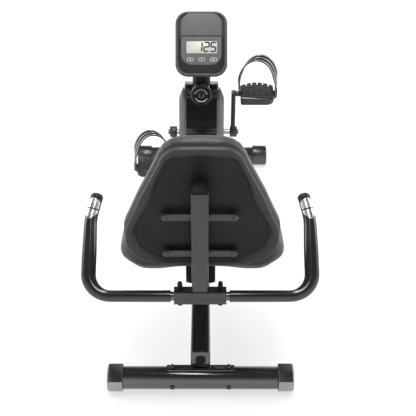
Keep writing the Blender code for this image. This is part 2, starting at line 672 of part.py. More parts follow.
def foot_strap(name, owner, centre, u, fore, up, half):
    """A flat band that leaves one side of the pedal, turns a little as it arches and ends on the other."""
    thick = 0.0028
    leg_width, crown_width = 0.024, 0.032
    out = half + GAP + thick / 2
    leg_top, crown = 0.030, 0.110
    turn = radians(22.0)
    steps = 14
    route = [(Vector((-out, SPINDLE_R + 0.0030)), 0.0), (Vector((-out, leg_top * 0.8)), 0.0)]
    for i in range(steps + 1):
        a = pi - pi * i / steps
        swell = 1.0 + 0.10 * sin(a)
        route.append((Vector((cos(a) * out * swell, leg_top + sin(a) * crown)), min(1.0, 2.5 * sin(a))))
    route += [(Vector((out, leg_top * 0.8)), 0.0), (Vector((out, -0.011)), 0.0)]
    rings = []
    for i, (point, share) in enumerate(route):
        along = (route[min(i + 1, len(route) - 1)][0] - route[max(i - 1, 0)][0]).normalized()
        off = Vector((-along.y, along.x)) * thick / 2
        width = leg_width + (crown_width - leg_width) * share
        across = fore * cos(turn * share) + u * sin(turn * share)
        ring = []
        for edge, face in ((-1, -1), (1, -1), (1, 1), (-1, 1)):
            flat = point + off * face
            ring.append(centre + u * flat.x + up * flat.y + across * edge * width / 2)
        rings.append(ring)
    place(name, skin(rings), owner, ((0.02, 0.02, 0.02), 0.35, 0.0))


def crank_set():
    axle = turned([(AXLE_R, 0), (AXLE_R, 0.228)], (CRANK_SHIFT - 0.114, CRANK_Y, CRANK_Z), X_AXIS)
    place("crank_axle", axle, "crank", ((0.5, 0.5, 0.5), 0.3, 1.0))
    x0, x1 = BELT_X
    profile = [(AXLE_R + GAP, x0 - 0.002), (0.024, x0 - 0.002), (0.024, x0 + 0.004), (0.074, x0 + 0.004),
               (0.074, x0 - 0.001), (PULLEY_R, x0 - 0.001), (PULLEY_R, x1 + 0.001), (0.074, x1 + 0.001),
               (0.074, x1 - 0.004), (0.024, x1 - 0.004), (0.024, x1), (AXLE_R + GAP, x1)]
    made = turned(profile, (0, CRANK_Y, CRANK_Z), X_AXIS, 32, loop=True)
    place("drive_pulley", made, "crank", (PLASTIC, 0.5, 0.0))
    crank_arm("crank_left", -1)
    crank_arm("crank_right", 1)


def drive_frame():
    low = BEAM_Z + BEAM_SIZE + GAP
    shell_r = 0.021
    outline = rectangle(LEG_SIZE, LEG_SIZE, 0.005)
    rise = CRANK_Z - shell_r - GAP - low
    made = hollow(outline, WALL, (0, CRANK_Y, low), X_AXIS, Y_AXIS, Z_AXIS, rise + GAP + 0.002)
    post = place("crank_post", made, "base", (PAINT, 0.35, 0.0))
    barrel = hollow(circle(shell_r), shell_r - AXLE_R - GAP, (-0.032, CRANK_Y, CRANK_Z), Y_AXIS, Z_AXIS,
                    X_AXIS, 0.062)
    boolean(post, cutter("bottom_bracket", barrel, "base"), "UNION")
    a, b, base, top = 0.030, 0.026, 0.004, 0.300
    section = [(-a, low), (a, low), (a, top), (b, top), (b, low + base), (-b, low + base), (-b, top),
               (-a, top)]
    outline = [Vector(p) for p in section]
    start = (0, FLYWHEEL_Y - 0.024, 0)
    fork = place("flywheel_fork", prism(outline, start, X_AXIS, Z_AXIS, Y_AXIS, 0.048), "base",
                 (PAINT, 0.4, 0.0))
    drill([fork], "fork_bore", (-0.05, FLYWHEEL_Y, FLYWHEEL_Z), X_AXIS, 0.0088, 0.1, "base")


def flywheel():
    centre = (0, FLYWHEEL_Y, FLYWHEEL_Z)
    shaft = 0.0085
    x0, x1 = BELT_X
    profile = [(shaft, -0.037), (shaft, x0), (PINION_R, x0), (PINION_R, x1), (shaft, x1), (shaft, 0.052)]
    place("flywheel_axle", turned(profile, centre, X_AXIS), "flywheel", ((0.5, 0.5, 0.5), 0.3, 1.0))
    bore, half = shaft + GAP, 0.017
    rim, web, hub = 0.082, 0.006, 0.026
    profile = [(bore, -half), (hub, -half), (hub, -web), (rim, -web), (rim, -half), (FLYWHEEL_R, -half),
               (FLYWHEEL_R, half), (rim, half), (rim, web), (hub, web), (hub, half), (bore, half)]
    place("flywheel", turned(profile, centre, X_AXIS, 32, loop=True), "flywheel",
          ((0.15, 0.15, 0.16), 0.35, 1.0))


def belt():
    """A closed band in the plane of the two pulleys, just clear of both."""
    big, small = Vector((CRANK_Y, CRANK_Z)), Vector((FLYWHEEL_Y, FLYWHEEL_Z))
    span = small - big
    heading = atan2(span.y, span.x)
    lean = acos((PULLEY_R - PINION_R) / span.length)
    rings = []
    for extra in (0.0005, 0.0030):
        loop = []
        for centre, radius, first, last, steps in ((big, PULLEY_R, lean, 2 * pi - lean, 24),
                                                   (small, PINION_R, -lean, lean, 10)):
            for i in range(steps + 1):
                a = heading + first + (last - first) * i / steps
                reach = (radius + extra) / cos((last - first) / steps / 2)
                loop.append(centre + Vector((cos(a), sin(a))) * reach)
        rings.append(loop)
    inner, outer = rings
    x0, x1 = BELT_X[0] + 0.001, BELT_X[1] - 0.001
    stack = [lift(o, (x, 0, 0), Y_AXIS, Z_AXIS) for o, x in ((outer, x0), (outer, x1), (inner, x1), (inner, x0))]
    place("drive_belt", skin(stack, loop=True), "base", ((0.02, 0.02, 0.02), 0.7, 0.0))


def magnet_arm():
    """A curved carrier over the flywheel's front, swung by the tension knob's cable."""
    low, high, half = FLYWHEEL_R + 0.004, FLYWHEEL_R + 0.013, 0.016
    steps = 10
    rings = []
    for i in range(steps + 1):
        a = radians(5 + 80 * i / steps)
        way = Vector((0, cos(a), sin(a)))
        centre = Vector((0, FLYWHEEL_Y, FLYWHEEL_Z))
        corners = ((low, -half), (low, half), (high, half), (high, -half))
        rings.append([centre + way * r + X_AXIS * x for r, x in corners])
    place("magnet_arm", skin(rings), "magnet_arm", ((0.4, 0.4, 0.4), 0.4, 1.0))


# ---- shroud, mast and console ----
COVER_OUTLINE = [(0.864, 0.140, 0.022), (0.852, 0.350, 0.150), (0.882, 0.484, 0.034), (0.960, 0.448, 0.060),
                 (1.120, 0.352, 0.080), (1.238, 0.270, 0.090), (1.215, 0.128, 0.070), (0.900, 0.128, 0.030)]
NECK_OUTLINE = [(0.868, 0.160, 0.020), (0.856, 0.350, 0.150), (0.888, 0.465, 0.080), (0.908, 0.499, 0.018),
                (0.968, 0.488, 0.020), (1.030, 0.452, 0.060), (1.165, 0.406, 0.080), (1.243, 0.300, 0.100),
                (1.205, 0.145, 0.060), (0.900, 0.145, 0.030)]


def side_outline(corners, steps=4):
    """Corners are distances ahead of REAR_Y and heights; the result runs anticlockwise."""
    return rounded([(REAR_Y + y, z, r) for y, z, r in reversed(corners)], steps)


def cover_solid(corners, stations, side):
    outline = side_outline(corners)
    return skin([lift(inset(outline, i), (x * side, 0, 0), Y_AXIS, Z_AXIS) for x, i in stations])


def shroud_half(hand, side):
    """A wide lower cover and a narrower neck in one moulding, hollowed from the seam side."""
    name = "shroud_" + hand
    wide = [(SPINE_HALF, 0.0), (SHROUD_HALF - 0.016, 0.001), (SHROUD_HALF - 0.007, 0.005),
            (SHROUD_HALF - 0.002, 0.011), (SHROUD_HALF, 0.018)]
    neck = [(SPINE_HALF, 0.0), (NECK_HALF - 0.002, 0.0005), (NECK_HALF, 0.003)]
    shell = place(name, cover_solid(COVER_OUTLINE, wide, side), "base", ((0.30, 0.30, 0.31), 0.35, 0.2))
    tool = cutter(name + "_neck", cover_solid(NECK_OUTLINE, neck, side), "base")
    boolean(shell, tool, "UNION")
    inner_wide = [(SPINE_HALF - 0.01, SKIN), (SHROUD_HALF - 0.016, SKIN + 0.0015),
                  (SHROUD_HALF - SKIN, SKIN + 0.015)]
    tool = cutter(name + "_inside", cover_solid(COVER_OUTLINE, inner_wide, side), "base")
    boolean(shell, tool)
    inner_neck = [(SPINE_HALF - 0.01, SKIN), (NECK_HALF - SKIN, SKIN + 0.0005)]
    tool = cutter(name + "_neck_inside", cover_solid(NECK_OUTLINE, inner_neck, side), "base")
    boolean(shell, tool)
    start = (0.04 * side, CRANK_Y, CRANK_Z)
    drill([shell], name + "_bore", start, X_AXIS * side, AXLE_R + 0.003, 0.05, "base")


def shroud_spine():
    """The dark band between the two covers, around their whole edge."""
    outline = side_outline(NECK_OUTLINE)
    half = SPINE_HALF - GAP
    stations = [(-half, 0.001), (half, 0.001), (half, 0.001 + SKIN), (-half, 0.001 + SKIN)]
    rings = [lift(inset(outline, i), (x, 0, 0), Y_AXIS, Z_AXIS) for x, i in stations]
    spine = place("shroud_spine", skin(rings, loop=True), "base", (PLASTIC, 0.35, 0.0))
    half = LEG_SIZE / 2 + 0.013
    low = (-half, CRANK_Y - LEG_SIZE / 2 - 0.002, 0.140)
    high = (half, FLYWHEEL_Y + 0.026, 0.156)
    boolean(spine, cutter("frame_hole", box(low, high), "base"))
    grown = rectangle(MAST_WIDTH + 0.002, MAST_DEPTH + 0.002, 0.011)
    boolean(spine, cutter("mast_hole", mast_solid(grown, 0.44, 0.54), "base"))
    return spine


def mast_way():
    return Vector((0, MAST_LEAN_Y, MAST_RISE)).normalized()


def mast_solid(outline, low, high):
    """A leaning bar between two heights."""
    way = mast_way()
    start = Vector((0, MAST_Y, CRANK_Z + 0.021 + GAP))
    rings = []
    for z in (low, high):
        centre = start + way * ((z - start.z) / way.z)
        rings.append(lift(outline, centre, X_AXIS, Y_AXIS))
    return skin(rings)


def mast():
    """A leaning tube from the bottom bracket to the console's back, cut to meet it."""
    outline = rectangle(MAST_WIDTH, MAST_DEPTH, 0.010)
    way = mast_way()
    start = Vector((0, MAST_Y, CRANK_Z + 0.021 + GAP))
    back = CONSOLE_CENTRE - FACE_NORMAL * (CONSOLE_DEPTH + GAP)
    rings = []
    for wall, high in ((0.0, False), (0.0, True), (WALL, True), (WALL, False)):
        ring = lift(inset(outline, wall), start, X_AXIS, Y_AXIS)
        if high:
            ring = [p + way * ((back - p).dot(FACE_NORMAL) / way.dot(FACE_NORMAL)) for p in ring]
        rings.append(ring)
    return place("mast", skin(rings, loop=True), "base", (PLASTIC, 0.4, 0.0))


def knob_ring(radius, y, lobes=8, depth=0.0, sides=32):
    points = []
    for i in range(sides):
        a = 2 * pi * i / sides
        r = radius - depth * (0.5 - 0.5 * cos(a * lobes)) ** 2
        points.append(Vector((cos(a) * r, y, KNOB_Z + sin(a) * r)))
    return points


def tension_knob():
    near, far = KNOB_Y
    stations = [(0.0060, far + 0.014, 0), (0.0060, far, 0), (KNOB_R * 0.88, far, 0), (KNOB_R * 0.96, far - 0.004, 0.003),
                (KNOB_R, near + 0.014, 0.004), (KNOB_R * 1.03, near + 0.006, 0.003),
                (KNOB_R * 0.97, near + 0.001, 0.001), (KNOB_R * 0.88, near, 0)]
    rings = [knob_ring(r, y, 8, depth) for r, y, depth in stations]
    place("tension_knob", skin(rings), "tension_knob", (PLASTIC, 0.3, 0.0))


def face_point(u, up, out):
    return CONSOLE_CENTRE + X_AXIS * u + FACE_UP * up + FACE_NORMAL * out


def face_stack(outline, stations):
    return [lift(inset(outline, i), face_point(0, 0, d), X_AXIS, FACE_UP) for i, d in stations]


def oval(size, steps=5):
    return rectangle(size[0], size[1], size[1] / 2 - 0.0001, steps)


def console():
    outline = rectangle(*CONSOLE_SIZE, CONSOLE_CORNER, 6)
    depth, seam = CONSOLE_DEPTH, 0.012
    back = [(0.020, -depth), (0.006, -depth + 0.004), (0.001, -0.018), (0.0, -seam - GAP)]
    place("console_case", skin(face_stack(outline, back)), "base", (PLASTIC, 0.45, 0.0))
    front = [(0.0, -seam), (0.0, -0.005), (0.004, -0.001), (0.009, -0.001), (0.011, -0.004),
             (0.014, -0.004), (0.018, 0.0)]
    face = place("console_face", skin(face_stack(outline, front)), "base", ((0.12, 0.12, 0.12), 0.4, 0.0))
    pocket = rectangle(*DISPLAY_SIZE, 0.003)
    pocket_base = face_point(DISPLAY_X, DISPLAY_UP, -0.0035)
    made = prism(pocket, pocket_base, X_AXIS, FACE_UP, FACE_NORMAL, 0.01)
    boolean(face, cutter("display_pocket", made, "base"))
    glass = prism(inset(pocket, GAP), pocket_base + FACE_NORMAL * GAP, X_AXIS, FACE_UP, FACE_NORMAL, 0.0028)
    place("display", glass, "base", ((0.62, 0.66, 0.58), 0.2, 0.0))
    for hand, x in zip(("left", "middle", "right"), BUTTON_XS):
        hole = oval((BUTTON_SIZE[0] + 0.0008, BUTTON_SIZE[1] + 0.0008))
        base = face_point(x, BUTTON_UP, -0.0060)
        made = prism(hole, base, X_AXIS, FACE_UP, FACE_NORMAL, 0.02)
        boolean(face, cutter("button_hole_" + hand, made, "base"))
        outline = oval(BUTTON_SIZE)
        stations = [(0, 0.0015), (0, 0.0066), (0.0012, 0.0074)]
        rings = [lift(inset(outline, i), base + FACE_NORMAL * d, X_AXIS, FACE_UP) for i, d in stations]
        place("button_" + hand, skin(rings), "button_" + hand, (PLASTIC, 0.4, 0.0))


def main():
    clear_scene()
    body("base", (0, 0, 0))
    body("seat", (0, 0, 0))
    lock_y = (CARRIAGE_YS[0] + CARRIAGE_YS[1]) / 2
    body("lock_pin", (RAIL_WIDTH / 2, lock_y, RAIL_BOTTOM + RAIL_HEIGHT / 2), "seat")
    body("crank", (0, CRANK_Y, CRANK_Z))
    body("pedal_left", crank_tip(-1), "crank")
    body("pedal_right", crank_tip(1), "crank")
    body("flywheel", (0, FLYWHEEL_Y, FLYWHEEL_Z))
    body("tension_knob", (0, KNOB_Y[1], KNOB_Z))
    pivot = Vector((0, cos(radians(5)), sin(radians(5)))) * (FLYWHEEL_R + 0.0085)
    body("magnet_arm", Vector((0, FLYWHEEL_Y, FLYWHEEL_Z)) + pivot)
    for hand, x in zip(("left", "middle", "right"), BUTTON_XS):
        body("button_" + hand, face_point(x, BUTTON_UP, 0))
    floor_frame()
    main_beam()
    seat_rail()
    seat_carriage()
    seat_foot()
    back_post()
    bar_bracket(handlebar())
    backrest()
    seat()
    crank_set()
    pedal(-1, "left")
    pedal(1, "right")
    drive_frame()
    flywheel()
    belt()
    magnet_arm()
    shroud_half("left", -1)
    shroud_half("right", 1)
    knob_holes = [shroud_spine(), mast()]
    drill(knob_holes, "knob_hole", (0, KNOB_Y[1] + 0.020, KNOB_Z), -Y_AXIS, 0.0070, 0.060, "base")
    tension_knob()
    console()


main()
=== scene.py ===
"""Finished looks of a recumbent exercise bike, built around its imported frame.

+Z up, +Y towards the front, metres. Hard pieces keep the frame's own forms with smooth shading and rounded
edges; the upholstery, grips, pedals, knob and console face are modelled here in finer detail.
"""
import json
from math import sin, cos, acos, atan2, pi, radians

import bmesh
import bpy
import numpy as np
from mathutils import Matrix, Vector
from mathutils.bvhtree import BVHTree

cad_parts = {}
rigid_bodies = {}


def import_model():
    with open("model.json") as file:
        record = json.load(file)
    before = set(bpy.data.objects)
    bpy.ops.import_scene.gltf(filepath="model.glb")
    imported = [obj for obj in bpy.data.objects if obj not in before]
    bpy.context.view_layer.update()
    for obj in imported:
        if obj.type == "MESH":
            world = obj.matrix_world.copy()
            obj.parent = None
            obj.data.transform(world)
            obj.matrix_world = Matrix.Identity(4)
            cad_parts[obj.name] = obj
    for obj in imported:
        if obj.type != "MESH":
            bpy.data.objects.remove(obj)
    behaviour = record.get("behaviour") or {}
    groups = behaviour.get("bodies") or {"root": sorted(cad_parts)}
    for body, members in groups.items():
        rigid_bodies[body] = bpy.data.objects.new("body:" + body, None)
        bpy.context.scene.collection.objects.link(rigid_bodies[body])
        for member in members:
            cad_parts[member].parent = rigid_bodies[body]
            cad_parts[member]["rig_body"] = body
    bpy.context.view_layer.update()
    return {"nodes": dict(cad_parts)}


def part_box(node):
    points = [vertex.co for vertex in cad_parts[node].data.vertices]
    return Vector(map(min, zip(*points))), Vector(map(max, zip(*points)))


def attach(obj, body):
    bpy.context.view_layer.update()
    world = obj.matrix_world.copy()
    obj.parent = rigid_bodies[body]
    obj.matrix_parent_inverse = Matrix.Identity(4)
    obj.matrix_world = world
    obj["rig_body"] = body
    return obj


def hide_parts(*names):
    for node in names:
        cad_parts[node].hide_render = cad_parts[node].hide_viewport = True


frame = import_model()

# ---- sizes and directions that the frame was built with, metres ----
GAP = 0.0003
RECLINE = radians(9.6)
POST_SIZE = 0.0395
BAR_R = 0.011
BAR_HALF_WIDTH = 0.274
BAR_BEND = 0.056
BAR_RISE = radians(43.0)
ARM_STRAIGHT = 0.122
TIP_BEND = 0.150
TIP_TURN = radians(13.0)
TIP_STRAIGHT = 0.040
GRIP_R = 0.0145
GRIP_START_X = 0.0715
PLATE_SPAN = (0.060, 0.006)
PAD_OFFSET = 0.005
CRANK_LEAN = radians(8.0)
CRANK_R = 0.150
CRANK_SHIFT = 0.006
PEDAL_TILTS = {-1: radians(5.0), 1: radians(13.0)}
PEDAL_X = (0.124, 0.235)
PEDAL_THICK = 0.026
SPINDLE_R = 0.0065
KNOB_R = 0.0342
CONSOLE_TILT = radians(32.0)
CONSOLE_SIZE = (0.165, 0.208)
CONSOLE_CORNER = 0.040
DISPLAY_SIZE = (0.098, 0.0395)
DISPLAY_UP = -0.0118
DISPLAY_X = 0.0014
BUTTON_UP = -0.0515
BUTTON_XS = (-0.0355, 0.0015, 0.0385)
BUTTON_SIZE = (0.025, 0.0145)
# halves of the two pads' outlines, as (x, distance along the pad, fillet radius)
BACK_OUTLINE = [(0.0, 0.044, 0), (0.098, 0.044, 0.050), (0.160, 0.066, 0.050), (0.190, 0.118, 0.060),
                (0.188, 0.165, 0.080), (0.149, 0.262, 0.250), (0.106, 0.352, 0.100), (0.086, 0.404, 0.060),
                (0.0, 0.406, 0)]
SEAT_OUTLINE = [(0.0, 0.057, 0), (0.055, 0.055, 0.200), (0.105, 0.045, 0.100), (0.162, 0.045, 0.066),
                (0.212, 0.098, 0.066), (0.212, 0.190, 0.100), (0.200, 0.300, 0.150), (0.160, 0.455, 0.070),
                (0.0, 0.462, 0)]

# ---- sizes of the finer visual forms ----
STRAP_SCREW_X = 0.079
TUBE_SCREW_X = 0.0737
GRIP_OVAL = 0.27                # how much wider than round the sleeves are past the bend
PLATE_TURN = radians(-5)        # how far the pulse plates face away from the sitter
PLATE_SPREAD = radians(62)      # how far they reach round the grip, each way
PLATE_STEPS = 20
PAD_VOXEL = 0.005
PAD_SWELL = 0.0035              # the furthest that pressure may move the cover of a pad
CLOTH_FRAMES = 20
SHOULDER_TOP = 0.470            # where a cover's rear shoulder meets its neck
SHOULDER_REACH = 0.060          # how far below that the raised part starts
SHOULDER_RISE = 0.024           # how much it is raised beside the neck
NECK_EDGE = 0.0585              # half width of the neck
FLUTE = 0.0085                  # depth of the knob's flutes
BROW_HALF = 0.0655              # half widths of the console's brow, block and display panel
BLOCK_HALF = 0.0733
PANEL_HALF = 0.0640
SPLIT_UP = 0.0235               # where the brow ends and the block begins
FLOOR_HALF = 14.0
CAMERA_LENS = 71.48
CAMERA_SHIFT = 0.007
CAMERA_TILT = radians(59.91)
CAMERA_PLACE = (0.0119, -1.6486, 1.5101)    # measured from the middle of the rear bar, on the floor
BLEND = (0.3, 0.7)              # the part of a noise over which a look changes
# half of the back shell's recess, as (x, height, fillet radius)
RECESS_OUTLINE = [(0.0, 0.068, 0), (0.090, 0.068, 0.050), (0.148, 0.100, 0.055), (0.163, 0.160, 0.060),
                  (0.112, 0.258, 0.300), (0.091, 0.366, 0.045), (0.0, 0.374, 0)]

SIDES = (("left", -1), ("right", 1))
X_AXIS = Vector((1, 0, 0))
Y_AXIS = Vector((0, 1, 0))
Z_AXIS = Vector((0, 0, 1))
POST_UP = Vector((0, -sin(RECLINE), cos(RECLINE)))
BACK_NORMAL = Vector((0, cos(RECLINE), sin(RECLINE)))
FACE_NORMAL = Vector((0, -cos(CONSOLE_TILT), sin(CONSOLE_TILT)))
FACE_UP = Vector((0, sin(CONSOLE_TILT), cos(CONSOLE_TILT)))
ARM_WAY = Vector((0, cos(BAR_RISE), sin(BAR_RISE)))
BAR_NORMAL = X_AXIS.cross(ARM_WAY)


def middle(node):
    low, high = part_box(node)
    return (low + high) / 2


REAR_Y = middle("rear_stabilizer").y - 0.007
SEAT_BASE = Vector((PAD_OFFSET, REAR_Y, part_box("seat_board")[0].z))
BAR_CENTRE = Vector((0, REAR_Y - 0.0185, 0.318))
POST_FRONT = Vector((0, REAR_Y - 0.0126 + POST_SIZE / 2 / cos(RECLINE), 0.338))
BACK_BASE = POST_FRONT + X_AXIS * PAD_OFFSET
BACK_PAD = (BACK_BASE, X_AXIS, POST_UP, BACK_NORMAL)
SEAT_PAD = (SEAT_BASE, X_AXIS, Y_AXIS, Z_AXIS)
CONSOLE_CENTRE = Vector((0, REAR_Y + 0.880, 0.648))


# ---- outline and surface helpers ----
def arc_corner(before, corner, after, radius, steps):
    """Points of a fillet between two straight edges."""
    here = Vector(corner)
    into = (Vector(before) - here).normalized()
    out = (Vector(after) - here).normalized()
    half = acos(max(-1.0, min(1.0, into.dot(out)))) / 2
    reach = radius / (sin(half) / cos(half))
    centre = here + (into + out).normalized() * radius / sin(half)
    first = here + into * reach - centre
    last = here + out * reach - centre
    start = atan2(first.y, first.x)
    turn = (atan2(last.y, last.x) - start + pi) % (2 * pi) - pi
    return [centre + Vector((cos(start + turn * i / steps), sin(start + turn * i / steps))) * radius
            for i in range(steps + 1)]


def rounded(corners, steps=8):
    """A closed outline from corners given as (x, y, fillet radius)."""
    points = []
    for i, (x, y, radius) in enumerate(corners):
        if radius:
            before, after = corners[i - 1][:2], corners[(i + 1) % len(corners)][:2]
            points += arc_corner(before, (x, y), after, radius, steps)
        else:
            points.append(Vector((x, y)))
    return points


def mirrored(corners):
    """Complete a half outline by reflecting it in the second axis."""
    return corners + [(-x, y, r) for x, y, r in reversed(corners) if abs(x) > 1e-6]


def rectangle(width, height, radius, steps=8):
    a, b = width / 2, height / 2
    return rounded([(-a, -b, radius), (a, -b, radius), (a, b, radius), (-a, b, radius)], steps)


def circle(radius, sides=32):
    return [Vector((cos(2 * pi * i / sides), sin(2 * pi * i / sides))) * radius for i in range(sides)]


def inset(outline, amount):
    """Move every point inwards along its own normal, for an anticlockwise outline."""
    moved = []
    outline = [Vector(point) for point in outline]
    for i, point in enumerate(outline):
        along = outline[(i + 1) % len(outline)] - outline[i - 1]
        moved.append(point + Vector((-along.y, along.x)).normalized() * amount)
    return moved


def resampled(outline, step):
    """The same closed outline with evenly spaced points."""
    points = np.array([tuple(p) for p in outline + outline[:1]])
    lengths = np.r_[0, np.cumsum(np.linalg.norm(np.diff(points, axis=0), axis=1))]
    count = int(lengths[-1] / step)
    marks = np.arange(count) * lengths[-1] / count
    return [Vector((x, y)) for x, y in zip(np.interp(marks, lengths, points[:, 0]),
                                           np.interp(marks, lengths, points[:, 1]))]


def lift(outline, origin, u, v):
    """Lay a flat outline in space."""
    return [Vector(origin) + Vector(u) * x + Vector(v) * y for x, y in outline]


def skin(rings, loop=False, made=None):
    """Join rings of equal length into one closed surface; a plain stack gets filled ends."""
    made = made or bmesh.new()
    rows = [[made.verts.new(p) for p in ring] for ring in rings]
    count = len(rows[0])
    pairs = list(zip(rows, rows[1:]))
    if loop:
        pairs.append((rows[-1], rows[0]))
    for low, high in pairs:
        for i in range(count):
            j = (i + 1) % count
            made.faces.new((low[i], low[j], high[j], high[i]))
    if not loop:
        made.faces.new(rows[0])
        made.faces.new(rows[-1])
    return made


def stacked(outline, stations, origin, u, v, way, made=None):
    """Loft one outline through (inset, distance) stations."""
    rings = [lift(inset(outline, i), Vector(origin) + Vector(way) * d, u, v) for i, d in stations]
    return skin(rings, made=made)


def turned(profile, base, way, sides=32, made=None):
    """Turn (radius, distance) pairs about an axis."""
    way = Vector(way)
    u = way.orthogonal().normalized()
    v = way.cross(u)
    return skin([lift(circle(r, sides), Vector(base) + way * d, u, v) for r, d in profile], made=made)


def block(low, high, made=None, u=X_AXIS, v=Y_AXIS, way=Z_AXIS, origin=(0, 0, 0)):
    """A box between two corners given along three directions."""
    size = Vector(high) - Vector(low)
    outline = [(0, 0), (size.x, 0), (size.x, size.y), (0, size.y)]
    start = Vector(origin) + u * low[0] + v * low[1] + way * low[2]
    return skin([lift(outline, start + way * d, u, v) for d in (0, size.z)], made=made)


# ---- materials ----
class Look:
    """A Principled material whose details are built up one after another."""

    def __init__(self, name, **sockets):
        self.material = bpy.data.materials.new(name)
        self.material.use_nodes = True
        self.tree = self.material.node_tree
        self.shader = self.tree.nodes["Principled BSDF"]
        self.coords = self.tree.nodes.new("ShaderNodeTexCoord").outputs["Object"]
        for socket, value in sockets.items():
            self.shader.inputs[socket.replace("_", " ")].default_value = value

    def add(self, kind, source, socket, **values):
        """A new node that is fed by one source."""
        node = self.tree.nodes.new("ShaderNode" + kind)
        for name, value in values.items():
            node.inputs[name.replace("_", " ")].default_value = value
        self.tree.links.new(source, node.inputs[socket])
        return node

    def noise(self, scale, detail=3.0, stretch=None):
        source = self.coords
        if stretch:
            source = self.add("Mapping", source, "Vector", Scale=stretch).outputs["Vector"]
        return self.add("TexNoise", source, "Vector", Scale=scale, Detail=detail).outputs["Fac"]

    def cells(self, scale, feature="F1"):
        node = self.add("TexVoronoi", self.coords, "Vector", Scale=scale)
        node.feature = feature
        return node.outputs["Distance"]

    def colour(self, fac, dark, light):
        """Base colour between two tones."""
        node = self.add("ValToRGB", fac, "Fac")
        for stop, place, tone in zip(node.color_ramp.elements, BLEND, (dark, light)):
            stop.position, stop.color = place, (*tone, 1)
        self.tree.links.new(node.outputs["Color"], self.shader.inputs["Base Color"])
        return self

    def roughness(self, fac, low, high):
        node = self.add("MapRange", fac, "Value", From_Min=BLEND[0], From_Max=BLEND[1], To_Min=low,
                        To_Max=high)
        self.tree.links.new(node.outputs["Result"], self.shader.inputs["Roughness"])
        return self

    def bump(self, fac, distance, strength=1.0):
        """Each call lays one more relief over the last."""
        node = self.add("Bump", fac, "Height", Distance=distance, Strength=strength)
        normal = self.shader.inputs["Normal"]
        if normal.links:
            self.tree.links.new(normal.links[0].from_socket, node.inputs["Normal"])
        self.tree.links.new(node.outputs["Normal"], normal)
        return self


def grey(value, warm=0.0):
    return (value * (1 + warm), value, value * (1 - warm))


def powder_coat(name, tone, rough):
    """Satin stove paint under a thin clear film, a little duller in patches."""
    look = Look(name, Metallic=0.5, Specular_IOR_Level=0.5, Coat_Weight=0.15, Coat_Roughness=0.3)
    look.colour(look.noise(14), grey(tone * 0.93, 0.01), grey(tone * 1.07, 0.01))
    look.roughness(look.noise(45, 4), rough - 0.03, rough + 0.04)
    return look.material


def gloss_paint(name, tone, rough, metallic=0.0):
    """Smooth enamel under a clear coat, with light handling marks."""
    look = Look(name, Metallic=metallic, Specular_IOR_Level=0.5, Coat_Weight=0.3, Coat_Roughness=0.10)
    look.colour(look.noise(9), grey(tone * 0.94, 0.01), grey(tone * 1.06, 0.01))
    look.roughness(look.noise(30, 2, (1.0, 0.25, 1.0)), rough - 0.03, rough + 0.04)
    return look.material


def moulded_plastic(name, tone, rough, grain=0.00012, scale=1500.0, warm=0.01, shine=0.45):
    """Spark-eroded mould grain with slight flow mottling."""
    look = Look(name, Specular_IOR_Level=shine)
    look.colour(look.noise(22, 4), grey(tone * 0.93, warm), grey(tone * 1.08, warm))
    look.roughness(look.noise(70, 4), rough - 0.05, rough + 0.06)
    return look.bump(look.cells(scale), grain).bump(look.noise(120, 2), 0.00004).material


def metallic_cover(name):
    """Grey cover paint with fine metal flake."""
    look = Look(name, Metallic=0.35, Specular_IOR_Level=0.5, Coat_Weight=0.25, Coat_Roughness=0.25)
    look.colour(look.noise(2600, 1), grey(0.10), grey(0.15))
    look.roughness(look.noise(30, 5), 0.36, 0.46)
    return look.bump(look.noise(1500, 2), 0.00003).material


def vinyl(name):
    """Black upholstery vinyl: pebbled grain, soft creases, a little sheen."""
    look = Look(name, Specular_IOR_Level=0.5, Sheen_Weight=0.12, Sheen_Roughness=0.5)
    look.colour(look.noise(16, 4), grey(0.021, 0.015), grey(0.028, 0.015))
    look.roughness(look.noise(55, 5), 0.40, 0.52)
    look.bump(look.noise(28, 3), 0.0009, 0.6)
    return look.bump(look.cells(620, "SMOOTH_F1"), 0.00022).bump(look.noise(2400, 2), 0.00005).material


def rubber(name, tone, rough, depth=0.0001):
    """Black rubber with a waxy film, and a moulded grain unless its depth is 0."""
    look = Look(name, Specular_IOR_Level=0.6, Coat_Weight=0.3, Coat_Roughness=0.08)
    look.colour(look.noise(35, 4), grey(tone * 0.9), grey(tone * 1.1))
    look.roughness(look.noise(25, 1), rough - 0.02, rough + 0.02)
    return look.bump(look.noise(1100, 3), depth).material if depth else look.material


def metal(name, tone, rough, scale=180.0, depth=0.00003, stretch=(1.0, 1.0, 1.0)):
    """Bare or plated metal with the marks of how it was finished, cut in unless their depth is 0."""
    look = Look(name, Metallic=1.0)
    look.colour(look.noise(40, 4), grey(tone * 0.9, 0.01), grey(min(1.0, tone * 1.06), 0.01))
    look.roughness(look.noise(scale, 4, stretch), max(0.02, rough - 0.05), rough + 0.07)
    return look.bump(look.noise(scale * 4, 2, stretch), depth).material if depth else look.material


def liquid_crystal(name):
    """Pale reflective display behind a clear window."""
    look = Look(name, Specular_IOR_Level=0.5, Coat_Weight=0.3, Coat_Roughness=0.05, IOR=1.5)
    look.colour(look.noise(60, 2), (0.47, 0.475, 0.41), (0.52, 0.525, 0.455))
    look.roughness(look.noise(400, 3), 0.30, 0.40)
    return look.bump(look.noise(2500, 1), 0.00001).material


def printed(name, tone, rough=0.45):
    """Screen-printed ink."""
    look = Look(name, Specular_IOR_Level=0.4)
    look.colour(look.noise(500, 2), grey(tone * 0.9), grey(min(1.0, tone * 1.05)))
    look.roughness(look.noise(300, 2), rough - 0.04, rough + 0.04)
    return look.bump(look.noise(3000, 1), 0.00001).material


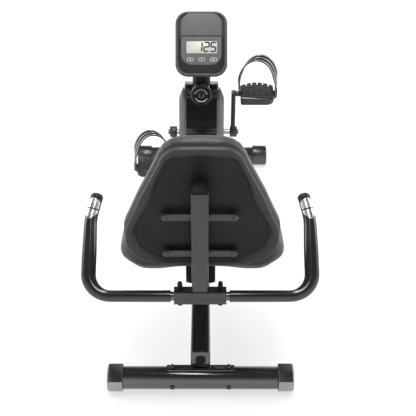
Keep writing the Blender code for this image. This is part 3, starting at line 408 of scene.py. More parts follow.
LOOKS = {name: make(name, *values) for name, make, *values in (
    ("frame_paint", powder_coat, 0.050, 0.30),
    ("frame_gloss", gloss_paint, 0.115, 0.15, 0.9),
    ("black_plastic", moulded_plastic, 0.024, 0.38, 0.00006),
    ("gloss_black", gloss_paint, 0.010, 0.14),
    ("cover_grey", metallic_cover),
    ("upholstery", vinyl),
    ("grip_rubber", rubber, 0.012, 0.18, 0.0),
    ("steel", metal, 0.52, 0.30, 180.0, 0.00003, (1.0, 1.0, 8.0)),
    ("bright", metal, 0.80, 0.12, 90.0, 0.00001),
    ("zinc_black", metal, 0.10, 0.30),
    ("iron", metal, 0.18, 0.45, 420.0, 0.0002),
    ("console_grey", moulded_plastic, 0.050, 0.36, 0.00008, 2200.0),
    ("display_glass", liquid_crystal),
    ("belt_rubber", rubber, 0.018, 0.60),
    ("ink_white", printed, 0.62),
    ("ink_grey", printed, 0.62),
    # black print, which also stands as painted shade in the screws' recesses
    ("black_ink_and_painted_shade", printed, 0.010),
    ("thread", printed, 0.05, 0.6),
    # the recess takes a darker copy of the band's plastic: painted shade for the recess
    ("shell_recess_painted_shade", moulded_plastic, 0.017, 0.42, 0.00004, 900.0, 0.04, 0.14),
    ("shell_band", moulded_plastic, 0.042, 0.40, 0.00004, 900.0, 0.03, 0.20),
    ("cap_paint", metal, 0.33, 0.10, 60.0, 0.0),
    ("front_paint", gloss_paint, 0.085, 0.34, 0.9),
    ("plate_steel", metal, 0.82, 0.30, 90.0, 0.0),
    ("knob_gloss", gloss_paint, 0.020, 0.16, 0.5),
    ("knob_face", moulded_plastic, 0.006, 0.50, 0.00005, 1800.0, 0.0, 0.15),
    ("pedal_top", gloss_paint, 0.012, 0.20),
    # the pedal's ribs are a lighter grey than the tread: painted highlight on their tops
    ("pedal_rib_painted_highlight", moulded_plastic, 0.075, 0.34, 0.00004, 1500.0, 0.02, 0.5),
    # the strap's ribs are a light grey on a black band: painted highlight along the ribs
    ("strap_rib_painted_highlight", gloss_paint, 0.30, 0.25, 0.6),
    ("strap_black", moulded_plastic, 0.006, 0.40, 0.00003, 1500.0, 0.0, 0.12),
    ("panel_grey", moulded_plastic, 0.085, 0.42, 0.00006, 2200.0),
    ("console_gloss", gloss_paint, 0.020, 0.18),
)}


# ---- pieces ----
def placed(name, data):
    """A new object in the scene."""
    shape = bpy.data.objects.new(name, data)
    bpy.context.scene.collection.objects.link(shape)
    return shape


def closed(name, made):
    """A new object from a built surface, with its normals outwards."""
    bmesh.ops.recalc_face_normals(made, faces=made.faces)
    mesh = bpy.data.meshes.new(name)
    made.to_mesh(mesh)
    made.free()
    return placed(name, mesh)


def evaluated(shape):
    graph = bpy.context.evaluated_depsgraph_get()
    return bpy.data.meshes.new_from_object(shape.evaluated_get(graph))


def applied(shape):
    """Give an object the mesh that its modifiers make of it, and return that mesh."""
    mesh = evaluated(shape)
    shape.modifiers.clear()
    shape.data = mesh
    return mesh


def piece(name, made, owner, slot="black_plastic", nodes=(), look=None, bevel=0.0, sharp=32.0):
    """Turn a built surface into a visible piece that rides on a body; a look replaces its slot's own."""
    shape = closed(name, made)
    mesh = shape.data
    mesh.materials.append(LOOKS[look or slot])
    mesh.shade_smooth()
    if bevel:
        step = shape.modifiers.new("rounding", "BEVEL")
        step.width = bevel
        step.segments = 3
        step.limit_method = "ANGLE"
        step.angle_limit = radians(sharp)
        step.harden_normals = True
    else:
        mesh.set_sharp_from_angle(angle=radians(sharp))
    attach(shape, owner)
    if nodes:
        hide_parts(*nodes)
    return shape


def polished(node, slot="black_plastic", bevel=0.0008, sharp=32.0, look=None):
    """The frame node's own form, welded, smooth shaded and with its edges rounded."""
    source = frame["nodes"][node]
    made = bmesh.new()
    made.from_mesh(source.data)
    bmesh.ops.remove_doubles(made, verts=made.verts, dist=2e-6)
    bmesh.ops.dissolve_limit(made, angle_limit=radians(0.6), verts=made.verts, edges=made.edges)
    return piece(node + "_finish", made, source["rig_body"], slot, (node,), look, bevel, sharp)


def dress(node, slot):
    """A hidden frame node keeps its mesh and only gets its material."""
    for place in frame["nodes"][node].material_slots:
        place.material = LOOKS[slot]


# ---- floor frame ----
def floor_frame():
    for end, tube_look, cap_look in (("rear", None, "cap_paint"), ("front", "front_paint", "front_paint")):
        polished(end + "_stabilizer", "frame_gloss", 0.0006, look=tube_look)
        for hand, _ in SIDES:
            polished("cap_" + end + "_" + hand, bevel=0.0012, look=cap_look)
    for node, bevel in (("rear_saddle", 0.0012), ("main_beam", 0.0005), ("beam_plug", 0.0006)):
        polished(node, "frame_gloss", bevel)
    beam_end_painted_shade()
    for hand, side in SIDES:
        polished("saddle_bolt_" + hand, "zinc_black", 0.0004)
        socket_screw("tube_screw_" + hand, side * TUBE_SCREW_X)


def beam_end_painted_shade():
    """A thin dark round-cornered pad in the middle of the beam's end, as painted shade."""
    low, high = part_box("beam_plug")
    centre = Vector((0, low.y, (low.z + high.z) / 2))
    outline = rectangle(0.026, 0.028, 0.009, 6)
    stations = [(0.0, -0.0002), (0.0, 0.0004), (0.0010, 0.0012), (0.0030, 0.0013)]
    made = stacked(outline, stations, centre, -X_AXIS, Z_AXIS, -Y_AXIS)
    # a near-black pad standing for shade on the beam's end
    piece("beam_plug_painted_shade", made, "base", look="knob_face")


def socket_screw(name, x):
    """A round head low on the rear tube; its hexagon recess is a thin black hexagon laid on top, as painted
    shade.
    """
    low = radians(-14)
    way = Vector((0, -cos(low), sin(low)))
    tube = middle("rear_stabilizer")
    start = Vector((x, tube.y, tube.z)) + way * 0.0298
    head = turned([(0.0068, 0), (0.0068, 0.0026), (0.0060, 0.0036), (0.0044, 0.0038)], start, way, 28)
    piece(name, head, "base", "zinc_black", bevel=0.0003)
    # the recess is a thin black hexagon on the head, as painted shade
    ring = [(0.0040, 0.0040), (0.0040, 0.0043), (0.0024, 0.0043)]
    piece(name + "_recess", turned(ring, start, way, 6), "base", "zinc_black", look="black_ink_and_painted_shade")


# ---- rail, carriage and post ----
def seat_frame():
    for node in ("seat_rail", "rail_leg_rear", "rail_leg_front", "crank_post", "flywheel_fork", "seat_foot",
                 "back_post"):
        polished(node, "frame_paint", 0.0006)
    polished("seat_carriage", "frame_paint", 0.0006, look="knob_face")
    polished("post_cap", look="knob_face")
    for node in ("bar_bracket", "bar_clamp"):
        polished(node, "frame_paint", 0.0012)
    for hand, _ in SIDES:
        polished("clamp_bolt_" + hand, "zinc_black", 0.0004, look="knob_face")
        clamp_nut(hand)
    for level in ("lower", "upper"):
        polished("strap_" + level, "frame_paint")
        strap_screws(level)
    dress("carriage_liner", "black_plastic")
    carriage_ends()
    polished("lock_pin")


def clamp_nut(hand):
    """The rounded end of a clamp bolt, just below the lower half of the clamp."""
    low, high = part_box("clamp_bolt_" + hand)
    start = Vector(((low.x + high.x) / 2, (low.y + high.y) / 2, low.z + 0.0004))
    profile = [(0.0070, 0.0), (0.0070, 0.0050), (0.0052, 0.0070), (0.0030, 0.0080)]
    piece("clamp_nut_" + hand, turned(profile, start, -Z_AXIS, 24), "seat", "zinc_black", look="knob_face")


def carriage_ends():
    """Dark end plates on the carriage, with an opening for the rail."""
    low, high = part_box("seat_carriage")
    rail_low, rail_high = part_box("seat_rail")
    width, top, bottom = (high.x - low.x) / 2, high.z - 0.0003, rail_low.z - 0.0010
    hole, roof = (rail_high.x - rail_low.x) / 2 + 0.0012, rail_high.z + 0.0012
    corners = mirrored([(hole, roof, 0.003), (hole, bottom, 0.002), (width, bottom, 0.012),
                        (width, top, 0.003)])
    for label, y, way in (("rear", low.y, -1), ("front", high.y, 1)):
        stations = [(0.0, 0.0002 * way), (0.0, 0.0026 * way), (0.0008, 0.0034 * way)]
        made = stacked(rounded(corners, 4), stations, (0, y, 0), X_AXIS, Z_AXIS, Y_AXIS)
        piece("carriage_end_" + label, made, "seat", look="knob_face")


def strap_spots(level, out):
    """Hand and place of the two screws through a strap, at a distance in front of the post."""
    up = (middle("strap_" + level) - POST_FRONT).dot(POST_UP)
    for hand, side in SIDES:
        yield hand, POST_FRONT + POST_UP * up + X_AXIS * STRAP_SCREW_X * side + BACK_NORMAL * out


def strap_screws(level):
    """Domed cross-head screws with washers at the two ends of a strap; the cross recess is a thin black cross
    on the dome, as painted shade.
    """
    way = -BACK_NORMAL
    for hand, start in strap_spots(level, 0.0003):
        name = "strap_screw_" + level + "_" + hand
        washer = turned([(0.0082, 0.0), (0.0082, 0.0010), (0.0060, 0.0014)], start, way, 28)
        piece(name + "_washer", washer, "seat", "zinc_black")
        dome = [(0.0060, 0.0013)] + [(0.0060 * cos(radians(a)), 0.0014 + 0.0034 * sin(radians(a)))
                                     for a in range(0, 81, 16)]
        piece(name, turned(dome, start, way, 28), "seat", "zinc_black")
        # the cross recess is painted shade: black blocks laid on the dome
        cross = bmesh.new()
        for u, v in ((X_AXIS, POST_UP), (POST_UP, X_AXIS)):
            block((-0.0024, -0.0005, 0.0040), (0.0024, 0.0005, 0.0049), cross, u, v, way, start)
        piece(name + "_cross", cross, "seat", "zinc_black", look="black_ink_and_painted_shade")


# ---- handlebar ----
def bar_station(s, side):
    """Centre and direction of the bar at a distance s along it from the middle."""
    straight = BAR_HALF_WIDTH - BAR_BEND
    bend = BAR_BEND * pi / 2
    across = X_AXIS * side
    if s <= straight:
        return BAR_CENTRE + across * s, across
    s -= straight
    if s <= bend:
        a = s / BAR_BEND
        at = across * (straight + BAR_BEND * sin(a)) + ARM_WAY * BAR_BEND * (1 - cos(a))
        return BAR_CENTRE + at, across * cos(a) + ARM_WAY * sin(a)
    s -= bend
    corner = BAR_CENTRE + across * BAR_HALF_WIDTH + ARM_WAY * BAR_BEND
    if s <= ARM_STRAIGHT:
        return corner + ARM_WAY * s, ARM_WAY
    s -= ARM_STRAIGHT
    corner += ARM_WAY * ARM_STRAIGHT
    a = min(s / TIP_BEND, TIP_TURN)
    at = corner - across * TIP_BEND * (1 - cos(a)) + ARM_WAY * TIP_BEND * sin(a)
    way = ARM_WAY * cos(a) - across * sin(a)
    return at + way * (s - a * TIP_BEND), way


BAR_END = (BAR_HALF_WIDTH - BAR_BEND + BAR_BEND * pi / 2 + ARM_STRAIGHT + TIP_BEND * TIP_TURN
           + TIP_STRAIGHT)


def bar_marks(first, last, step=0.006):
    count = max(2, int((last - first) / step))
    return [first + (last - first) * i / count for i in range(count + 1)]


def bar_ring(s, side, radius, sides=32, widen=1.0):
    centre, way = bar_station(s, side)
    return lift(circle(radius, sides), centre, BAR_NORMAL, way.cross(BAR_NORMAL) * side * widen)


def ease(share):
    share = max(0.0, min(1.0, share))
    return share * share * (3 - 2 * share)


def grip_width(s):
    """The sleeve turns oval round the bend and slims again towards the tip."""
    bend = ease((s - (BAR_HALF_WIDTH - BAR_BEND)) / (BAR_BEND * pi / 2))
    return 1.0 + GRIP_OVAL * bend - (GRIP_OVAL - 0.08) * ease((s - (BAR_END - 0.16)) / 0.13)


def handlebar():
    marks = bar_marks(0.0, BAR_END)
    route = [(s, -1) for s in reversed(marks)] + [(s, 1) for s in marks[1:]]
    rings = [bar_ring(s, side, BAR_R) for s, side in route]
    rings += [bar_ring(s, side, BAR_R - 0.002) for s, side in reversed(route)]
    piece("handlebar_tube", skin(rings, loop=True), "seat", "frame_gloss", ("handlebar",))
    for hand, side in SIDES:
        grip(hand, side)
        pulse_plates(hand, side)


def grip(hand, side):
    """A long sleeve with a rolled rim at its inner end, and a ribbed head that closes the tip."""
    head = BAR_END - 0.004
    marks = bar_marks(GRIP_START_X + 0.003, head)
    rings = [bar_ring(s, side, BAR_R + GAP) for s in reversed([GRIP_START_X] + marks)]
    rings += [bar_ring(GRIP_START_X, side, GRIP_R - 0.0012), bar_ring(GRIP_START_X + 0.001, side, GRIP_R)]
    rings += [bar_ring(s, side, GRIP_R, widen=grip_width(s)) for s in marks]
    piece("grip_sleeve_" + hand, skin(rings, loop=True), "seat", "grip_rubber", ("grip_" + hand,))
    start = BAR_END - 0.0035
    profile = [(BAR_R - 0.003, 0.0045), (GRIP_R - 0.001, 0.0)]
    for rib in range(3):
        low = rib * 0.0030
        profile += [(GRIP_R + 0.0002, low + 0.0004), (GRIP_R + 0.0002, low + 0.0020),
                    (GRIP_R - 0.0008, low + 0.0023), (GRIP_R - 0.0008, low + 0.0028)]
    profile += [(GRIP_R - 0.0012, 0.0095), (GRIP_R - 0.0035, 0.0130), (0.0065, 0.0150)]
    rings = [bar_ring(start + d, side, r, widen=1.08) for r, d in profile]
    piece("grip_head_" + hand, skin(rings), "seat", "grip_rubber", look="black_plastic")


def pulse_plates(hand, side):
    """Two bright shells with a gap between them, rounded at the tip and pointed at the lower end."""
    low, high = GRIP_R + GAP, GRIP_R + 0.0016
    first, last = BAR_END - PLATE_SPAN[0], BAR_END - PLATE_SPAN[1]
    gap = (first + last) / 2
    facing = -side * PLATE_TURN
    for label, start, end in (("lower", first, gap - 0.0016), ("upper", gap + 0.0016, last)):
        rings = []
        for s in bar_marks(start, end, 0.003):
            along = (s - first) / (last - first)
            pointed_end = max(0.10, min(1.0, along / 0.34)) ** 0.7
            round_end = max(0.05, min(1.0, (1.004 - along) / 0.16)) ** 0.5
            spread = PLATE_SPREAD * (pointed_end * round_end)
            centre, way = bar_station(s, side)
            u, v = BAR_NORMAL, way.cross(BAR_NORMAL) * grip_width(s)
            angles = [facing - spread + 2 * spread * i / PLATE_STEPS for i in range(PLATE_STEPS + 1)]
            outer = [centre + (u * cos(a) + v * sin(a)) * high for a in angles]
            inner = [centre + (u * cos(a) + v * sin(a)) * low for a in reversed(angles)]
            rings.append(outer + inner)
        nodes = ("pulse_plate_" + hand,) if label == "lower" else ()
        piece("pulse_plate_" + label + "_" + hand, skin(rings), "seat", "bright", nodes, "plate_steel", 0.0003)


# ---- upholstery ----
def ray_ring(outline, centre, count):
    """The outline as seen from a point inside it, at evenly spaced headings."""
    corners = np.array([tuple(p) for p in outline]) - np.array(centre)
    after = np.roll(corners, -1, axis=0)
    ring = []
    for k in range(count):
        a = 2 * pi * (k + 0.5) / count
        way = np.array((cos(a), sin(a)))
        near = corners[:, 0] * way[1] - corners[:, 1] * way[0]
        far = after[:, 0] * way[1] - after[:, 1] * way[0]
        crossing = (near * far <= 0) & (near != far)
        share = np.where(crossing, near / np.where(near == far, 1.0, near - far), 0.0)
        hits = corners + (after - corners) * share[:, None]
        ring.append(Vector(centre) + Vector(way) * (hits @ way)[crossing].max())
    return ring


def back_shell():
    """The moulded dish behind the backrest: a rolled lip, a ledge, a sloped band and a flat recess."""
    count, centre = 180, (0.0, 0.205)
    outer = ray_ring(rounded(mirrored(BACK_OUTLINE), 12), centre, count)
    recess = ray_ring(rounded(mirrored(RECESS_OUTLINE), 12), centre, count)
    edge = inset(outer, 0.0185)
    lip = [(0.0115, 0.0212), (0.0090, 0.0190), (0.0082, 0.0140), (0.0090, 0.0085), (0.0108, 0.0054),
           (0.0136, 0.0042), (0.0156, 0.0044), (0.0166, 0.0054), (0.0176, 0.0056)]
    levels = [(inset(outer, i), d) for i, d in lip]
    band = ((0.0, 0.0054), (0.2, 0.0062), (0.5, 0.0086), (0.8, 0.0116), (0.94, 0.0130), (1.0, 0.0135))
    for share, d in band:
        levels.append(([a.lerp(b, share) for a, b in zip(edge, recess)], d))
    levels.append((inset(recess, 0.0005), 0.0185))
    made = skin([lift(ring, BACK_BASE + BACK_NORMAL * d, X_AXIS, POST_UP) for ring, d in levels])
    piece("back_shell_finish", made, "seat", nodes=("back_shell",), look="shell_band", sharp=50)
    floor = [(0.0006, 0.0182), (0.0006, 0.0137), (0.0030, 0.0150), (0.0060, 0.0157)]
    rings = [lift(inset(recess, i), BACK_BASE + BACK_NORMAL * d, X_AXIS, POST_UP) for i, d in floor]
    # the recess floor and its bosses are painted darker than the band, as painted shade
    piece("back_shell_recess", skin(rings), "seat", look="shell_recess_painted_shade", sharp=50)
    for level in ("lower", "upper"):
        for hand, start in strap_spots(level, 0.0155):
            boss = turned([(0.0125, 0.0010), (0.0120, -0.0012), (0.0100, -0.0016)], start, BACK_NORMAL, 32)
            piece("shell_boss_" + level + "_" + hand, boss, "seat", look="shell_recess_painted_shade")


def relaxed(name, node):
    """Remesh the plain pad, let pressure fill it, cap how far that moves it, and make the mesh finer."""
    scene = bpy.context.scene
    shape = placed(name, frame["nodes"][node].data.copy())
    remesh = shape.modifiers.new("remesh", "REMESH")
    remesh.mode = "VOXEL"
    remesh.voxel_size = PAD_VOXEL
    start = coordinates(applied(shape))
    cloth = shape.modifiers.new("cloth", "CLOTH")
    settings = cloth.settings
    settings.quality = 5
    settings.mass = 0.4
    settings.tension_stiffness = 12
    settings.compression_stiffness = 12
    settings.bending_stiffness = 2.0
    settings.use_pressure = True
    settings.uniform_pressure_force = 4.0
    settings.effector_weights.gravity = 0
    cloth.point_cache.frame_start = 1
    cloth.point_cache.frame_end = CLOTH_FRAMES
    for step in range(1, CLOTH_FRAMES + 1):
        scene.frame_set(step)
    mesh = applied(shape)
    moved = coordinates(mesh) - start
    moved -= moved.mean(axis=0)
    length = np.linalg.norm(moved, axis=1, keepdims=True)
    store(mesh, start + moved * np.minimum(1.0, PAD_SWELL / np.maximum(length, 1e-9)))
    scene.frame_set(1)
    finer = shape.modifiers.new("finer", "SUBSURF")
    finer.levels = 1
    finer.render_levels = 1
    applied(shape)
    return shape


def coordinates(mesh):
    flat = np.empty(len(mesh.vertices) * 3)
    mesh.vertices.foreach_get("co", flat)
    return flat.reshape(-1, 3)


def store(mesh, points):
    mesh.vertices.foreach_set("co", np.ascontiguousarray(points).ravel())
    mesh.update()


def distance_to(points, outline):
    """Distance of flat points from a closed outline."""
    ring = np.array([tuple(p) for p in outline])
    best = np.full(len(points), 9.0)
    for a, b in zip(ring, np.roll(ring, -1, axis=0)):
        along = b - a
        share = np.clip((points - a) @ along / (along @ along), 0, 1)
        best = np.minimum(best, np.linalg.norm(points - a - share[:, None] * along, axis=1))
    return best


def cushion(node, corners, pad, floor, dish, dish_at, seams):
    """A filled pad whose front has a shallow dish and sewn channels, and whose back stays flat."""
    shape = relaxed(node + "_soft", node)
    mesh = shape.data
    origin, axes = np.array(pad[0]), np.array([tuple(axis) for axis in pad[1:]])
    local = (coordinates(mesh) - origin) @ axes.T
    top = local[:, 2].max()
    front = np.clip((local[:, 2] - floor) / (top - floor), 0, 1)
    reach = ((local[:, :2] - np.array(dish_at)) ** 2).sum(axis=1)
    local[:, 2] -= dish * front ** 2 * np.exp(-reach / 0.012)
    outline = rounded(mirrored(corners))
    facing = np.clip((front - 0.55) / 0.25, 0, 1)
    for seam_inset, depth, width in seams:
        groove = np.exp(-(distance_to(local[:, :2], inset(outline, seam_inset)) / width) ** 2)
        local[:, 2] -= depth * groove * facing
    inner = distance_to(local[:, :2], outline) > 0.012
    local[:, 2] = np.maximum(local[:, 2], np.where(inner, floor, floor + 0.0004))
    store(mesh, local @ axes + origin)
    mesh.materials.clear()
    mesh.materials.append(LOOKS["upholstery"])
    mesh.shade_smooth()
    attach(shape, "seat")
    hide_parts(node)
    return shape


def stitches(name, shape, outline, pad, pitch=0.0075, length=0.0046, radius=0.0006):
    """Short threads laid on the pad along an outline."""
    mesh = shape.data
    faces = [tuple(face.vertices) for face in mesh.polygons]
    tree = BVHTree.FromPolygons([tuple(point.co) for point in mesh.vertices], faces)
    way = pad[3]
    ring = resampled(outline, pitch)
    made = bmesh.new()
    for i, point in enumerate(ring):
        heading = (ring[(i + 1) % len(ring)] - ring[i - 1]).normalized() * length / 2
        ends = []
        for sign in (-1, 1):
            above = lift([point + heading * sign], *pad[:3])[0] + way * 0.2
            hit = tree.ray_cast(above, -way)[0]
            if hit is not None:
                ends.append(hit + way * radius * 0.5)
        if len(ends) == 2:
            thread(ends[0], ends[1], way, radius, made)
    piece(name, made, "seat", "upholstery", look="thread", sharp=60)


def thread(start, end, up, radius, made):
    """One stitch: a thin rod that thickens in the middle."""
    along = end - start
    across = along.normalized().cross(up)
    rings = []
    for share, scale in ((0.0, 0.55), (0.25, 1.0), (0.75, 1.0), (1.0, 0.55)):
        lift_up = up * radius * (1 - (2 * share - 1) ** 2) * 0.6
        centre = start + along * share + lift_up
        rings.append([centre + (across * cos(a) + up * sin(a)) * radius * scale
                      for a in (2 * pi * k / 6 for k in range(6))])
    skin(rings, made=made)


def upholstery():
    back_shell()
    pads = (("back", BACK_OUTLINE, BACK_PAD, 0.0216, 0.010, (0.0, 0.20),
             ((0.030, 0.0040, 0.0032), (0.085, 0.0050, 0.0040)), 0.0355),
            ("seat", SEAT_OUTLINE, SEAT_PAD, 0.0116, 0.012, (0.0, 0.26),
             ((0.034, 0.0040, 0.0032), (0.090, 0.0050, 0.0040)), 0.0395))
    for label, corners, pad, floor, dish, dish_at, seams, stitch_inset in pads:
        shape = cushion(label + "_cushion", corners, pad, floor, dish, dish_at, seams)
        stitches(label + "_stitches", shape, inset(rounded(mirrored(corners)), stitch_inset), pad)
    polished("seat_board", bevel=0.0010)


# ---- drive ----
def crank_point(out, along=0.0):
    """A point on the crank's turning axis, or at a distance along the raised crank."""
    axle = middle("crank_axle")
    reach = Vector((0, -sin(CRANK_LEAN), cos(CRANK_LEAN))) * along
    return Vector((CRANK_SHIFT + out, axle.y, axle.z)) + reach


def drive():
    for hand, side in SIDES:
        polished("crank_" + hand, "frame_paint", 0.0016)
        profile = [(0.0100, 0.0), (0.0100, 0.0045), (0.0086, 0.0060)]
        nut = turned(profile, crank_point(0.1150 * side), X_AXIS * side, 6)
        piece("crank_nut_" + hand, nut, "crank", "zinc_black", bevel=0.0005)
        pedal(hand, side)
    for node, slot in (("crank_axle", "steel"), ("flywheel_axle", "steel"), ("drive_pulley", "black_plastic"),
                       ("flywheel", "iron"), ("magnet_arm", "steel"), ("drive_belt", "belt_rubber")):
        dress(node, slot)


def fan_edge(x, half):
    """Far edge of the pedal at a sideways distance from its middle."""
    return 0.036 + 0.020 * (1 - (x / half) ** 2)


def pedal(hand, side):
    """A tread block with a fingered far edge, a grid of ribs on top and a curved lip along its near side."""
    owner = "pedal_" + hand
    hub = crank_point(0.0, CRANK_R * side)
    u = X_AXIS * side
    tilt = PEDAL_TILTS[side]
    fore = Vector((0, cos(tilt), sin(tilt)))
    up = Vector((0, -sin(tilt), cos(tilt)))
    half = (PEDAL_X[1] - PEDAL_X[0]) / 2
    base = hub + u * (PEDAL_X[0] + PEDAL_X[1]) / 2
    near_corners = [(-half, -0.047, 0.008), (half, -0.047, 0.026), (half, 0.026, 0.004), (-half, 0.026, 0)]
    outline = rounded(near_corners, 6)[:-1]
    fingers, slot, depth = 6, 0.0040, 0.014
    pitch = 2 * half / fingers
    for k in range(fingers):
        high = half - k * pitch
        low = high - pitch + (slot if k < fingers - 1 else 0)
        for i in range(5):
            x = high + (low - high) * i / 4
            bulge = 0.0018 * (1 - (i / 2 - 1) ** 2)
            outline.append(Vector((x, fan_edge(x, half) + bulge - 0.002)))
        if k < fingers - 1:
            outline.append(Vector((low - 0.0002, fan_edge(low, half) - depth)))
            outline.append(Vector((low - slot + 0.0002, fan_edge(low, half) - depth)))
    thick = PEDAL_THICK / 2
    stations = [(0.0006, -thick), (0.0, -thick + 0.0008), (0.0, thick - 0.0058), (0.0006, thick - 0.0050)]
    made = stacked(outline, stations, base, u, fore, up)
    piece(owner + "_tread", made, owner, nodes=(owner + "_body",), bevel=0.0005)
    ribs = bmesh.new()
    low, high = thick - 0.0051, thick - 0.0030
    columns, rows = 5, 8
    pitch = (2 * half - 0.010) / columns
    for i in range(columns):
        x = -half + 0.005 + pitch * (i + 0.5)
        for j in range(rows):
            y = -0.031 + 0.0112 * j
            if y > fan_edge(x, half) - 0.010:
                continue
            rib = rectangle(pitch - 0.0030, 0.0036, 0.0012, 2)
            start = base + u * x + fore * y
            stacked(rib, [(0, low), (0, high - 0.0008), (0.0008, high)], start, u, fore, up, made=ribs)
    # the ribs take a lighter grey than the tread, as painted highlight on their tops
    piece(owner + "_ribs", ribs, owner, look="pedal_rib_painted_highlight")
    lip = []
    for i in range(25):
        share = i / 24
        x = -half + 0.003 + (2 * half - 0.006) * share
        centre = base + u * x + fore * (-0.0375 + 0.006 * (1 - share) ** 2) + up * (thick - 0.0052)
        section = [(-0.0085, 0.0), (0.0085, 0.0), (0.0060, 0.0036), (0.0, 0.0044), (-0.0060, 0.0030)]
        lip.append([centre + fore * p + up * q for p, q in section])
    piece(owner + "_lip", skin(lip), owner, look="pedal_top", sharp=70)
    end_cap = turned([(0.0110, 0.0), (0.0110, 0.0020), (0.0085, 0.0034)], hub + u * (PEDAL_X[1] + 0.0001), u)
    piece(owner + "_end_cap", end_cap, owner, look="gloss_black")
    pedal_strap(owner, base, u, fore, up, half)


def pedal_strap(owner, centre, u, fore, up, half):
    """A ribbed band that turns a little as it arches, with a buckle and teeth on its outer leg."""
    thick = 0.0028
    out = half + GAP + thick / 2 + 0.0022
    leg_top, crown = 0.030, 0.110
    leg_width, crown_width = 0.030, 0.040
    turn = radians(22.0)
    slack = 0.22
    route = [(Vector((-out, SPINDLE_R + 0.0030)), slack), (Vector((-out, leg_top * 0.8)), slack)]
    steps = 40
    for i in range(steps + 1):
        a = pi - pi * i / steps
        swell = 1.0 + 0.10 * sin(a)
        arched = max(slack, min(1.0, 2.5 * sin(a)))
        route.append((Vector((cos(a) * out * swell, leg_top + sin(a) * crown)), arched))
    route += [(Vector((out, leg_top * 0.8)), slack), (Vector((out, -0.011)), slack)]
    band = [(-0.5, 0.0), (0.5, 0.0), (0.5, 1.0), (-0.5, 1.0)]
    ribs = [[(edge - 0.07, 0.7), (edge + 0.07, 0.7), (edge + 0.07, 1.3), (edge + 0.03, 1.6),
             (edge - 0.03, 1.6), (edge - 0.07, 1.3)] for edge in (-0.40, 0.0, 0.40)]
    rings = [[] for _ in range(1 + len(ribs))]
    for i, (point, share) in enumerate(route):
        along = (route[min(i + 1, len(route) - 1)][0] - route[max(i - 1, 0)][0]).normalized()
        off = Vector((-along.y, along.x))
        width = leg_width + (crown_width - leg_width) * share
        across = fore * cos(turn * share) + u * sin(turn * share)
        for k, section in enumerate([band] + ribs):
            ring = []
            for edge, height in section:
                flat = point + off * (height - 0.5) * thick
                ring.append(centre + u * flat.x + up * flat.y + across * edge * width)
            rings[k].append(ring)
    piece(owner + "_band", skin(rings[0]), owner, nodes=(owner + "_strap",), look="strap_black", sharp=38)
    made = bmesh.new()
    for line in rings[1:]:
        skin(line, made=made)
    # the ribs are light grey on the black band, as painted highlight
    piece(owner + "_band_ribs", made, owner, look="strap_rib_painted_highlight", sharp=60)
    buckle = bmesh.new()
    start = centre + u * (out + thick * 0.9)
    outline = rectangle(0.030, 0.030, 0.004, 4)
    stacked(outline, [(0, 0.0), (0, 0.0030), (0.0012, 0.0042)], start + up * 0.006, fore, up, u, made=buckle)
    piece(owner + "_buckle", buckle, owner, bevel=0.0004)
    teeth = bmesh.new()
    for k in range(6):
        low = 0.026 + 0.0045 * k
        block((-0.0100, low, thick * 0.95), (0.0100, low + 0.0022, thick * 0.95 + 0.0014), teeth,
              fore, up, u, centre + u * out)
    piece(owner + "_teeth", teeth, owner, look="gloss_black")


# ---- covers, mast and knob ----
def covers():
    for hand, _ in SIDES:
        raise_shoulder(polished("shroud_" + hand, "cover_grey", 0.0, 28))
    polished("shroud_spine", "gloss_black", 0.0, 28)
    polished("mast", bevel=0.0006)


def raise_shoulder(shape):
    """Lift the wide part of a cover's rear shoulder, so that it falls away evenly from the neck."""
    points = coordinates(shape.data)
    across = np.abs(points[:, 0])
    wide, narrow = across.max(), NECK_EDGE
    rear = np.clip((REAR_Y + 0.99 - points[:, 1]) / 0.06, 0, 1)
    level = np.clip((points[:, 2] - (SHOULDER_TOP - SHOULDER_REACH)) / SHOULDER_REACH, 0, 1)
    near = np.clip((wide - across) / (wide - narrow), 0, 1)
    moves = (across >= narrow - 0.0005) & (points[:, 2] < SHOULDER_TOP + 0.002)
    points[:, 2] += np.where(moves, SHOULDER_RISE * near * rear * level, 0.0)
    store(shape.data, points)


